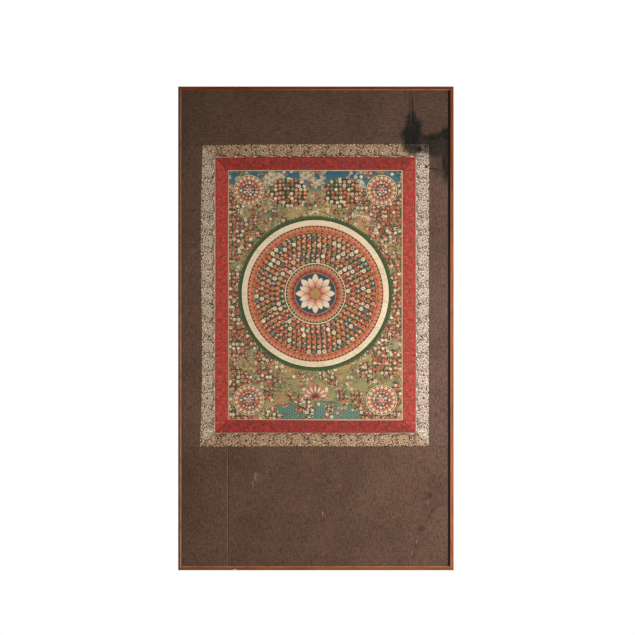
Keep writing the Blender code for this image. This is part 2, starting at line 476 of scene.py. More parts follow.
def build_scrolls() -> bpy.types.NodeTree:
    """The group for a woven ground of roundels with scrolling cloud between them."""
    web, source, sink = effect("woven scrolls", ("Line", "Crest", "Roundel"), Cloth=None, Pitch=0.054,
                               Rows=0.050, Line=0.006, Lobes=8.0, Wander=0.0016)
    shake = web.fed("ShaderNodeTexNoise", {"Vector": source["Cloth"], "Scale": 1 / SHAKE_PITCH}, "Color")
    wander = web.stretch(web.vector("SUBTRACT", shake, (0.5, 0.5, 0.5)), source["Wander"])
    u, v = web.pair(web.vector("ADD", source["Cloth"], wander))
    pitch, rows, line = source["Pitch"], source["Rows"], source["Line"]

    # A lobed roundel: petals about a heart, and rings about the petals.
    far, turn = polar(web, *ring_tile(u, v, pitch, rows, 0.0))
    wave = (turn * (source["Lobes"] * math.tau)).cosine()
    lobed = far * wave.times(0.12, 1.0) / line
    roundel = lobed.rise(2.35, 2.30)
    petal = lobed.rise(0.75, 0.85) * lobed.rise(1.55, 1.45)
    rings = lobed + 0.28 + petal * wave.times(0.32, 0.0)

    # Cloud scrolls wind both ways between the roundels, close at their hearts.
    far, turn = polar(web, *ring_tile(u, v, pitch, rows, 0.5))
    wide = far / line
    spiral = wide - turn
    near = wide.rise(2.05, 1.95)
    small_pitch, small_rows = pitch * 0.5, rows * 0.5
    far, turn = polar(web, *ring_tile(u, v, small_pitch, small_rows, 0.25))
    curl = far / (line * 0.85) + turn
    between = spiral * near + curl * (1.0 - near)
    turns = rings * roundel + between * (1.0 - roundel)
    away = abs(turns.fract() - 0.5)
    return web.finished(sink, Line=away.rise(0.24, 0.16), Crest=away.rise(0.30, 0.40),
                        Roundel=roundel)


def build_grain() -> bpy.types.NodeTree:
    """The group for wood grain along one axis: pores, streaks and slow bands of tone."""
    web, source, sink = effect("grain", ("Tone", "Pore"), Along=None)
    x, y, z = web.split(source["Along"])
    stretched = web.join(x, y * 18.0, z * 18.0)
    tone = web.noise(stretched, 0.09, 4.0, 0.6, 0.4)
    fine = web.join(x, y * 60.0, z * 60.0)
    return web.finished(sink, Tone=tone, Pore=web.noise(fine, 0.03, 2.0, 0.6).rise(0.62, 0.72))


@dataclass
class Effects:
    """The shared node groups, each built once."""

    marks: bpy.types.NodeTree = field(default_factory=build_marks)
    weave: bpy.types.NodeTree = field(default_factory=build_weave)
    scrolls: bpy.types.NodeTree = field(default_factory=build_scrolls)
    grain: bpy.types.NodeTree = field(default_factory=build_grain)


# ------------------------------------------------------------------ finishes


@dataclass(frozen=True)
class Surface:
    """What a finish sets on its shader, and how far its relief and its gloss go."""

    roughness: float
    sheen: float = 0.0
    sheen_roughness: float = 0.5
    specular: float = 0.5
    bump: float = 0.3
    depth: float = 0.0003
    spread: float = 0.2

    def start(self, name: str) -> "Skin":
        """Begins a material with these settings."""
        material = bpy.data.materials.new(name)
        material.use_nodes = True
        shader = material.node_tree.nodes["Principled BSDF"]
        settings = {"Roughness": self.roughness, "Sheen Weight": self.sheen,
                    "Sheen Roughness": self.sheen_roughness, "Specular IOR Level": self.specular}
        for label, value in settings.items():
            shader.inputs[label].default_value = value
        return Skin(self, material, shader, Web(material.node_tree))


@dataclass(frozen=True)
class Skin:
    """A material that is being built."""

    surface: Surface
    material: bpy.types.Material
    shader: bpy.types.Node
    web: Web

    def finish(self, colour: object, height: object = None,
               shine: Optional[Value] = None) -> bpy.types.Material:
        """Feeds the shader its colour and, where they are given, its relief and its gloss.

        Args:
            colour: The colour.
            height: What stands up as bump, from 0 to 1.
            shine: How smooth it is, from 0 where it is dullest to 1 where it is smoothest.

        Returns:
            The finished material.
        """
        web, surface, inputs = self.web, self.surface, self.shader.inputs
        web.feed(inputs["Base Color"], colour)
        if shine is not None:
            dull = surface.roughness + surface.spread / 2
            web.feed(inputs["Roughness"], shine.times(-surface.spread, dull))
        if height is not None:
            bump = {"Strength": surface.bump, "Distance": surface.depth, "Height": height}
            web.feed(inputs["Normal"], web.fed("ShaderNodeBump", bump))
        return self.material


class Coats:
    """Paint or dye laid coat over coat."""

    def __init__(self, web: Web, ground: object) -> None:
        """Starts with the bare ground's colour."""
        self.web, self.colour = web, ground

    def lay(self, share: object, colour: object, blend: str = "MIX") -> None:
        """Lays one more coat where share is 1."""
        self.colour = self.web.mix(share, self.colour, colour, blend)


CLOTH_MAP = "cloth"
BAKE_MAP = "OFBake"


def cloth_place(web: Web) -> Value:
    """A place on the cloth, in metres along and across its threads."""
    return Value(web, web.add("ShaderNodeUVMap", uv_map=CLOTH_MAP).outputs[0])


def woven_place(web: Web, cloth: Value, warp: float, weft: float) -> Value:
    """The place of the nearest crossing, so that a woven figure's edges step with its threads."""
    threads = web.vector("DIVIDE", cloth, (warp, weft, 1.0))
    whole = web.vector("ADD", web.vector("FLOOR", threads, None), (0.5, 0.5, 0.0))
    return web.vector("MULTIPLY", whole, (warp, weft, 1.0))


def grey_ramp(web: Web, value: Value, low: float, high: float) -> Value:
    """A grey from low, where the value is 0, to high, where it is 1."""
    return web.ramp(value, ((0.0, (low,) * 3), (1.0, (high,) * 3)))


def painted_right_light(web: Web, place: Value, coats: Coats, gain: float) -> None:
    """Paints light into the coats: paler towards the right, where the key light falls, and a little warmer
    at the left.
    """
    tint = ((0.1, (1.0, 0.98, 0.91)), (0.9, (gain, gain, gain * 1.05)))
    coats.lay(1.0, web.ramp(web.part(place, 0) + 0.5, tint), "MULTIPLY")


@dataclass(frozen=True)
class Damask:
    """Dark brown silk damask with a small tone-on-tone pattern; each cut's tone makes it a lighter or
    darker copy of one silk, as painted light and shade.
    """

    name: str
    base: Colour = seen(88, 66, 53)
    faded: Colour = seen(103, 79, 65)
    line: Colour = seen(66, 48, 38)
    crest: Colour = seen(122, 96, 80)
    warm: Colour = seen(112, 78, 66)
    # The colour of the stains, also laid as painted shade along the dark seams.
    stain: Colour = seen(28, 27, 23)
    spots: Colour = seen(60, 35, 23)
    # The rubbed colour, also laid as painted highlight along the pale seams.
    rubbed: Colour = seen(172, 138, 118)
    warp: float = 0.6 * MM
    weft: float = 0.8 * MM
    # How much paler the right side is painted: painted light.
    right_light_gain: float = 1.10
    # How much lighter or darker this cut is: painted light and shade.
    tone: Colour = (1.0, 1.0, 1.0)
    level: float = 0.5
    surface: Surface = Surface(roughness=0.72, specular=0.14, bump=0.35, spread=0.25)

    def build(self, effects: Effects) -> bpy.types.Material:
        """Makes the material."""
        skin = self.surface.start(self.name)
        web = skin.web
        cloth = cloth_place(web)
        woven = woven_place(web, cloth, self.warp, self.weft)
        figure = web.group(effects.scrolls, Cloth=woven, Pitch=0.0528, Rows=0.0575, Line=0.0080, Lobes=6.0,
                           Wander=0.014)
        weave = web.group(effects.weave, Cloth=cloth, Warp=self.warp, Weft=self.weft, Slub=0.8,
                          Level=self.level)
        place = web.place()
        aged = web.noise(place, 0.19, 3.0, 0.55).rise(0.25, 0.75)
        coats = Coats(web, web.mix(aged, self.base, self.faded))
        coats.lay(web.noise(place, 0.052, 2.0).rise(0.46, 0.60) * 0.30, self.warm)
        clear = web.noise(cloth, 0.026, 3.0, 0.6).rise(0.40, 0.62).times(0.8, 0.2)
        coats.lay(figure["Line"] * (clear * 0.34), self.line)
        coats.lay(figure["Crest"] * (clear * 0.22), self.crest)
        mottle = web.noise(cloth, 0.0085, 1.0).times(0.70, 0.15)
        coats.lay(0.5, grey_ramp(web, weave["Thread"].times(1.95, mottle), 0.1, 0.9), "OVERLAY")
        # Painted shade: the cloth is darkened towards the top, where less light falls.
        painted_top_shade = ((0.20, self.tone), (0.92, tuple(0.80 * c for c in self.tone)))
        coats.lay(1.0, web.ramp(web.part(place, 2) + 0.2, painted_top_shade), "MULTIPLY")
        # Painted light: paler towards the right.
        painted_right_light(web, place, coats, self.right_light_gain)
        marks = web.group(effects.marks)
        coats.lay(marks["Spots"], self.spots)
        # Stains, and painted shade along the dark seams.
        coats.lay(marks["Stain"] * 0.97, self.stain)
        # Rubbed places, and painted highlight along the pale seams.
        coats.lay(marks["Rubbed"], self.rubbed)
        return skin.finish(coats.colour, weave["Height"] + figure["Crest"], figure["Crest"])


@dataclass(frozen=True)
class Brocade:
    """Cream brocade with dark brown line work between pale scrolls."""

    name: str
    ground: Colour
    light: Colour
    dark: Colour
    olive: Colour
    rose: Colour
    # How much paler the right side is painted: painted light.
    right_light_gain: float
    middle: float = 0.024
    warp: float = 0.7 * MM
    weft: float = 0.9 * MM
    stained: Colour = seen(39, 33, 29)
    burnt: Colour = seen(22, 14, 10)
    surface: Surface = Surface(roughness=0.6, specular=0.2, bump=0.5, spread=0.25)

    def build(self, effects: Effects) -> bpy.types.Material:
        """Makes the material."""
        skin = self.surface.start(self.name)
        web = skin.web
        cloth = cloth_place(web)
        woven = woven_place(web, cloth, self.warp, self.weft)
        centred = web.vector("SUBTRACT", woven, (0.0, self.middle, 0.0))
        figure = web.group(effects.scrolls, Cloth=centred, Pitch=0.0543, Rows=0.0590, Line=0.0085,
                           Lobes=7.0, Wander=0.0150)
        weave = web.group(effects.weave, Cloth=cloth, Warp=self.warp, Weft=self.weft, Slub=0.5)
        blotch = web.noise(woven, 0.017, 3.0, 0.6)
        coats = Coats(web, web.mix(blotch.rise(0.52, 0.58), self.ground, self.rose))
        coats.lay(blotch.rise(0.46, 0.40), self.olive)
        beads = web.noise(woven, 0.0052, 1.0).rise(0.42, 0.52)
        full = web.noise(woven, 0.012, 2.0, 0.6).rise(0.36, 0.50)
        pale = figure["Crest"] * beads.times(0.5, 0.45)
        coats.lay(pale, self.light)
        deep = figure["Line"] * beads.times(0.90, 0.10) * full.times(0.65, 0.35)
        coats.lay(deep, self.dark)
        coats.lay(web.part(cloth, 1).rise(3.4 * MM, 2.4 * MM) * 0.8, self.rose)
        # Painted light: paler towards the right.
        painted_right_light(web, web.place(), coats, self.right_light_gain)
        marks = web.group(effects.marks)
        # The mask of the stains also carries painted shade along the dark seams.
        coats.lay(marks["Stain"] * 0.95, self.stained)
        coats.lay(marks["Deep"], self.burnt)
        return skin.finish(coats.colour, weave["Height"].times(0.8, (pale - deep) * 0.4), pale)


@dataclass(frozen=True)
class RedSilk:
    """Plain red silk with slubs, crimson and brown changes of dye, and rubbed threads."""

    name: str
    base: Colour
    brown: Colour
    crimson: Colour
    worn: Colour
    middle: float = 20 * MM
    side_dye: float = 4.5
    stained: Colour = seen(60, 28, 24)
    surface: Surface = Surface(roughness=0.55, specular=0.22, bump=0.3)

    def build(self, effects: Effects) -> bpy.types.Material:
        """Makes the material."""
        skin = self.surface.start(self.name)
        web = skin.web
        cloth = cloth_place(web)
        weave = web.group(effects.weave, Cloth=cloth, Warp=0.6 * MM, Weft=0.7 * MM, Slub=1.0)
        aside = abs(web.part(cloth, 1) - self.middle)
        uneven = web.noise(cloth, 0.026, 3.0, 0.6)
        dye = aside.times(-self.side_dye, uneven) + self.middle * self.side_dye / 2
        coats = Coats(web, web.mix(dye.rise(0.47, 0.56), self.base, self.brown))
        coats.lay(dye.rise(0.45, 0.38), self.crimson)
        rub = web.noise(cloth, 0.009, 4.0, 0.7).rise(0.50, 0.64)
        coats.lay(rub * 0.72, self.worn)
        coats.lay(0.7, grey_ramp(web, weave["Thread"].times(2.4, 0.5), 0.12, 0.92), "OVERLAY")
        warmth = ((0.2, (1.12, 0.99, 1.01)), (0.8, (1.0,) * 3))
        coats.lay(1.0, web.ramp(web.part(web.place(), 0) + 0.5, warmth), "MULTIPLY")
        # The mask of the stains also carries painted shade along the dark seams.
        coats.lay(web.group(effects.marks)["Stain"] * 0.6, self.stained)
        return skin.finish(coats.colour, weave["Height"], rub)


@dataclass(frozen=True)
class Wood:
    """Red-brown stained wood, dark at its outer arris, partly its own and partly painted shade, pale along
    its inner bead, partly wear and partly painted highlight, with painted shade along the rail and on its
    inner side.
    """

    side: str
    body: Colour
    arris: Colour
    arris_reach: float
    bead: tuple[float, float]
    worn_and_highlit: float
    # Where the bead's pale is kept along the rail, following the light: painted highlight.
    kept: tuple[float, float, float] = (1.0, -0.32, 0.12)
    # Painted shade on the rail's inner side, beyond the bead.
    inner: Optional[Colour] = None
    # Painted shade along the rail: its least share, where it starts and where it ends.
    shade: tuple[float, float, float] = (1.0, 0.0, 0.1)
    # The bead's pale: bare wood and painted highlight.
    bare: Colour = seen(196, 146, 110)
    pore: Colour = seen(46, 20, 13)
    chipped: Colour = seen(214, 178, 140)
    surface: Surface = Surface(roughness=0.5, specular=0.14, bump=0.25, depth=0.0002)

    def build(self, effects: Effects) -> bpy.types.Material:
        """Makes the material."""
        skin = self.surface.start("wood_" + self.side)
        web = skin.web
        place = web.place()
        x, y, z = web.split(place)
        upright = self.side in UPRIGHT_SIDES
        along = web.join(z, x, y) if upright else web.join(x, z, y)
        grain = web.group(effects.grain, Along=along)
        reach, half = (x, HALF_WIDTH) if upright else (z, HALF_HEIGHT)
        inward = half - abs(reach)
        dark, pale = (tuple(c * share for c in self.body) for share in (0.62, 1.35))
        coats = Coats(web, web.ramp(grain["Tone"], ((0.32, dark), (0.50, self.body), (0.70, pale))))
        soft = 0.6 * MM
        # Dark outer arris: the wood's own darker edge and painted shade.
        coats.lay(inward.rise(self.arris_reach + soft, self.arris_reach - soft) * 0.90, self.arris)
        course = z if upright else x
        # Painted shade: the rail darkened towards one end, away from the light.
        coats.lay(1.0, grey_ramp(web, self.eased(course, self.shade), 0.0, 1.0), "MULTIPLY")
        low, high = self.bead
        bead = inward.rise(low, low + 0.5 * MM) * inward.rise(high, high - 0.5 * MM)
        wear = web.noise(along, 0.03, 4.0, 0.6).rise(0.3, 0.6).times(0.5, 0.5)
        # Pale bead: worn bare wood and painted highlight where the light falls.
        coats.lay(bead * (wear * self.eased(course, self.kept) * self.worn_and_highlit), self.bare)
        # Painted shade on the inner side.
        if self.inner:
            coats.lay(inward.rise(high, high + soft), self.inner)
        coats.lay(grain["Pore"] * 0.45, self.pore)
        coats.lay(blot(x, z, CHIP), self.chipped)
        return skin.finish(coats.colour, grain["Tone"] - grain["Pore"], grain["Tone"])

    @staticmethod
    def eased(course: Value, run: tuple[float, float, float]) -> Value:
        """A share along the rail: its least value, where it starts to rise and where it reaches 1."""
        least, start, end = run
        return course.rise(start, end).times(1 - least, least)


@dataclass(frozen=True)
class PanelPaint:
    """Black paint on the panel's front and edges, which also stands in as painted shadow in the dark gap
    beside the painted cloth; plain brown paper on its back.
    """

    surface: Surface = Surface(roughness=0.75, specular=0.2, bump=0.3)

    def build(self) -> bpy.types.Material:
        """Makes the material."""
        skin = self.surface.start("panel_paint")
        web = skin.web
        place = web.place()
        fibre = web.noise(place, 0.004, 5.0, 0.7)
        mottle = web.noise(place, 0.12, 4.0, 0.6)
        paper = web.mix(mottle.rise(0.3, 0.7), seen(150, 124, 92), seen(170, 143, 108))
        paper = web.mix(fibre * 0.25, paper, seen(112, 88, 62))
        # The black front also stands in as painted shadow in the gap where it shows.
        black = web.mix(fibre, seen(8, 7, 7), seen(20, 18, 17))
        behind = web.part(place, 1).rise(-0.4 * MM, -0.2 * MM)
        return skin.finish(web.mix(behind, black, paper), fibre)


@dataclass(frozen=True)
class Sewing:
    """Twisted sewing thread."""

    name: str
    colour: Colour
    surface: Surface = Surface(roughness=0.7, sheen=0.2, bump=0.6)

    def build(self) -> bpy.types.Material:
        """Makes the material."""
        skin = self.surface.start(self.name)
        web = skin.web
        place = web.place()
        dull = tuple(c * 0.6 for c in self.colour)
        colour = web.mix(web.noise(place, 0.05, 3.0), self.colour, dull)
        return skin.finish(colour, web.noise(place, 0.0004, 1.0))


# ------------------------------------------------------------------ the painted garden

# The order in which this section makes its nodes counts: the same nodes made in another order
# render black in Cycles, so a change here wants a look at the render.

# What a ring or a row adds to its cells' numbers, so that no two cells get the same dice.
RING_STRIDE = 397.3
# What a group of cells gives: the place within the cell, and a random colour for it.
CELLS = (("Local", "Vector"), ("Pick", "Color"))


def wandering(web: Web, place: Value, pitch: float, reach: float) -> Value:
    """A place moved a little to and fro, as a hand-drawn line wanders."""
    moved = []
    for part, size in zip(web.pair(place), (pitch, pitch * 1.4)):
        away = web.noise(place, size) - 0.5
        moved.append(away.times(2 * reach, part))
    return web.join(*moved)


def build_blossom() -> bpy.types.NodeTree:
    """The group that draws one open flower about a place, in units of its own radius."""
    web, source, sink = effect("blossom", ("Fill", "Ink", "Heart", "Tip"), Place=None, Petals=8.0)
    x, y = web.pair(source["Place"])
    far, turn = polar(web, x, y)
    wave = abs((turn * (source["Petals"] * math.pi)).cosine())
    lobe = (wave ** 0.6).times(0.26, 0.74)
    reach = far / lobe
    fill = reach.rise(1.0, 0.93)
    cleft = wave.rise(0.30, 0.12) * far.rise(0.28, 0.42)
    return web.finished(sink, Fill=fill, Ink=web.most(reach.rise(0.78, 0.92), cleft),
                        Heart=far.rise(0.34, 0.26), Tip=far)


def build_wreaths() -> bpy.types.NodeTree:
    """The group that parts rings about a middle into cells, each a flower wide."""
    web, source, sink = effect("wreaths", CELLS, Place=None, Low=0.1, Pitch=0.016)
    x, y = web.pair(source["Place"])
    far, turn = polar(web, x, y)
    pitch = source["Pitch"]
    ring = ((far - source["Low"]) / pitch).floor()
    radius = (ring + 0.5).times(pitch, source["Low"])
    count = (radius / pitch * math.tau).rounded()
    cell = turn.times(count, ring * 0.5)
    across = cell.fract() - 0.5
    across = across / count * (far * (2 * math.tau))
    across = across / pitch
    out = (far - radius) / pitch * 2.0
    pick = web.dice(lambda: ring.times(RING_STRIDE, cell.floor() % count), "Color")
    return web.finished(sink, Local=web.join(across, out), Pick=pick)


def build_petals() -> bpy.types.NodeTree:
    """The group that draws one ring of long pointed petals about a middle."""
    web, source, sink = effect("petals", ("Fill", "Ink", "Vein", "Rise", "Pick"), Place=None, Low=0.1,
                               High=0.12, Count=24.0, Turn=0.0)
    x, y = web.pair(source["Place"])
    far, turn = polar(web, x, y)
    cell = turn.times(source["Count"], source["Turn"])
    across = abs(cell.fract() - 0.5) * 2.0
    rise = (far - source["Low"]) / (source["High"] - source["Low"])
    late = web.most((rise - 0.35) / 0.65, 0.0)
    width = web.most(1.0 - late ** 1.7, 0.0) ** 0.8
    edge = across / web.most(width, 0.001)
    fill = edge.rise(1.02, 0.94) * rise.rise(1.0, 0.98)
    ink = edge.rise(0.72, 0.90)
    veins = abs((edge * 2.5).fract() - 0.5)
    return web.finished(sink, Fill=fill, Ink=ink, Vein=veins.rise(0.16, 0.04), Rise=rise,
                        Pick=web.dice(lambda: cell.floor() % source["Count"]))


def build_strewn() -> bpy.types.NodeTree:
    """The group that strews places about, one in each cell of a loose net, each turned its own way."""
    web, source, sink = effect("strewn", CELLS, Place=None, Pitch=0.014, Stray=0.7)
    net = web.add("ShaderNodeTexVoronoi", voronoi_dimensions="2D")
    web.feed(net.inputs["Vector"], source["Place"])
    web.feed(net.inputs["Scale"], 1.0 / source["Pitch"])
    web.feed(net.inputs["Randomness"], source["Stray"])
    away = web.vector("SUBTRACT", source["Place"], net.outputs["Position"])
    turned = web.add("ShaderNodeVectorRotate", rotation_type="Z_AXIS")
    web.feed(turned.inputs["Vector"], away)
    web.feed(turned.inputs["Angle"], web.channels(net.outputs["Color"])[0] * math.tau)
    sized = web.add("ShaderNodeVectorMath", operation="SCALE")
    web.feed(sized.inputs[0], turned.outputs[0])
    web.feed(sized.inputs["Scale"], 2.0 / source["Pitch"])
    return web.finished(sink, Local=sized.outputs[0], Pick=net.outputs["Color"])


def build_scallops() -> bpy.types.NodeTree:
    """The group for overlapping rows of scallops, as clouds and waves are drawn."""
    web, source, sink = effect("scallops", ("Tone", "Ink", "Pick"), Place=None, Pitch=0.02, Lines=3.0)
    x, y = web.pair(source["Place"])
    radius = source["Pitch"] * 0.5
    rows = radius * 0.5
    lowest = ((y - radius) / rows).floor()
    far: object = 1.0
    pick: object = 0.0
    for step in (3.0, 2.0, 1.0):
        row = lowest + step
        cell = x / source["Pitch"] + row % 2.0 * 0.5
        across = (cell.fract() - 0.5) * source["Pitch"]
        up = y - row * rows
        out = polar(web, across, up)[0] / radius
        near = web.math("LESS_THAN", out, 1.0)
        far = out * near + far * (1.0 - near)
        own = web.dice(lambda: row.times(RING_STRIDE, cell.floor()))
        pick = own * near + pick * (1.0 - near)
    ring = (far * source["Lines"]).fract()
    return web.finished(sink, Tone=far, Ink=ring.rise(0.80, 0.94), Pick=pick)


# How wide the cells between the paint's cracks are.
CRACK_PITCH = 0.0075


def build_age() -> bpy.types.NodeTree:
    """The group for old paint: creases from rolling, a net of fine cracks, rubbing and smoke."""
    web, source, sink = effect("age", ("Crack", "Rubbed", "Smoke"), Place=None)
    x, y = web.pair(source["Place"])
    long = web.noise(web.join(x * 0.12, y), 0.011, 3.0, 0.55)
    crease = abs(long - 0.5).rise(0.012, 0.002)
    net = {"Vector": wandering(web, source["Place"], 0.004, 0.0012), "Scale": 1 / CRACK_PITCH}
    edge = web.fed("ShaderNodeTexVoronoi", net, "Distance", feature="DISTANCE_TO_EDGE")
    crack = edge.rise(0.045, 0.012)
    where = web.noise(source["Place"], 0.06, 3.0, 0.6)
    crack = web.most(crack * where.rise(0.42, 0.66), crease * 0.8)
    rub = web.noise(source["Place"], 0.012, 6.0, 0.72).rise(0.60, 0.74)
    return web.finished(sink, Crack=crack,
                        Rubbed=rub * web.noise(source["Place"], 0.09, 2.0).rise(0.45, 0.7),
                        Smoke=web.noise(source["Place"], 0.16, 4.0, 0.6))


@dataclass
class Drawing:
    """The node groups that the painted cloth is drawn with."""

    blossom: bpy.types.NodeTree = field(default_factory=build_blossom)
    wreaths: bpy.types.NodeTree = field(default_factory=build_wreaths)
    petals: bpy.types.NodeTree = field(default_factory=build_petals)
    strewn: bpy.types.NodeTree = field(default_factory=build_strewn)
    scallops: bpy.types.NodeTree = field(default_factory=build_scallops)
    age: bpy.types.NodeTree = field(default_factory=build_age)


@dataclass(frozen=True)
class Pigments:
    """The mineral colours on the palette, as they look now."""

    canvas: Colour = seen(206, 182, 148)
    cream: Colour = seen(232, 210, 182)
    ink: Colour = seen(52, 38, 28)
    vermilion: Colour = seen(196, 58, 36)
    crimson: Colour = seen(142, 42, 38)
    orange: Colour = seen(206, 104, 54)
    rose: Colour = seen(206, 134, 116)
    ochre: Colour = seen(186, 148, 84)
    leaf: Colour = seen(72, 92, 54)
    deep_green: Colour = seen(44, 58, 40)
    shade: Colour = seen(64, 70, 46)
    meadow: Colour = seen(146, 140, 98)
    land: Colour = seen(176, 146, 98)
    deep_sky: Colour = seen(50, 92, 112)
    sky: Colour = seen(78, 122, 126)
    teal: Colour = seen(70, 118, 108)
    mist: Colour = seen(126, 146, 122)
    water: Colour = seen(58, 98, 102)
    slate: Colour = seen(58, 76, 92)


@dataclass(frozen=True)
class Brush:
    """Draws on the coats of the painted cloth, about one place."""

    coats: Coats
    drawing: Drawing
    palette: Pigments
    place: Value
    far: Optional[Value] = None
    soft: float = 0.4 * MM

    def discs(self, *discs: tuple[float, Colour]) -> None:
        """Lays round coats, each a radius and a colour."""
        for radius, colour in discs:
            self.coats.lay(self.far.rise(radius + self.soft, radius - self.soft), colour)

    def petals(self, low: float, high: float, count: int, turn: float, base: Colour, tip: Colour) -> None:
        """Draws a ring of petals from low to high, coloured from base to tip."""
        web = self.coats.web
        drawn = web.group(self.drawing.petals, Place=self.place, Low=low, High=high, Count=float(count),
                          Turn=turn)
        hue = Coats(web, web.mix(drawn["Rise"].rise(0.15, 0.85), base, tip))
        hue.lay(drawn["Vein"] * 0.25, base)
        hue.lay(drawn["Ink"] * 0.85, self.palette.ink)
        self.coats.lay(drawn["Fill"] * drawn["Rise"].rise(0.0, 0.02), hue.colour)

    def double_petals(self, low: float, high: float, count: int, base: Colour, under: Colour,
                      over: Colour) -> None:
        """Draws two rings of petals, the upper half a petal round from the lower."""
        self.petals(low, high, count, 0.5, base, under)
        self.petals(low, high, count, 0.0, base, over)

    def strewn(self, pitch: float, stray: float) -> dict[str, Value]:
        """Cells strewn about."""
        return self.coats.web.group(self.drawing.strewn, Place=self.place, Pitch=pitch, Stray=stray)

    def ringed(self, low: float, pitch: float) -> dict[str, Value]:
        """Cells in rings from low outwards."""
        return self.coats.web.group(self.drawing.wreaths, Place=self.place, Low=low, Pitch=pitch)

    def flowers(self, cells: dict[str, Value], petals: float, hues: Sequence[Colour], where: object,
                size: float = 1.0) -> None:
        """Draws a flower in each cell, its colour picked from a few."""
        web, p = self.coats.web, self.palette
        drawn = web.group(self.drawing.blossom, Place=web.stretch(cells["Local"], 1 / size), Petals=petals)
        _, first, second = web.channels(cells["Pick"])
        stops = [(i / len(hues), hue) for i, hue in enumerate(hues)]
        hue = Coats(web, web.ramp(first, stops, smooth=False))
        hue.lay(drawn["Tip"] * 0.28, p.cream)
        hearts = ((0.0, p.ochre), (0.5, p.cream), (0.8, p.crimson))
        hue.lay(drawn["Heart"], web.ramp(second, hearts, smooth=False))
        hue.lay(drawn["Ink"] * 0.8, p.ink)
        self.coats.lay(drawn["Fill"] * where, hue.colour)


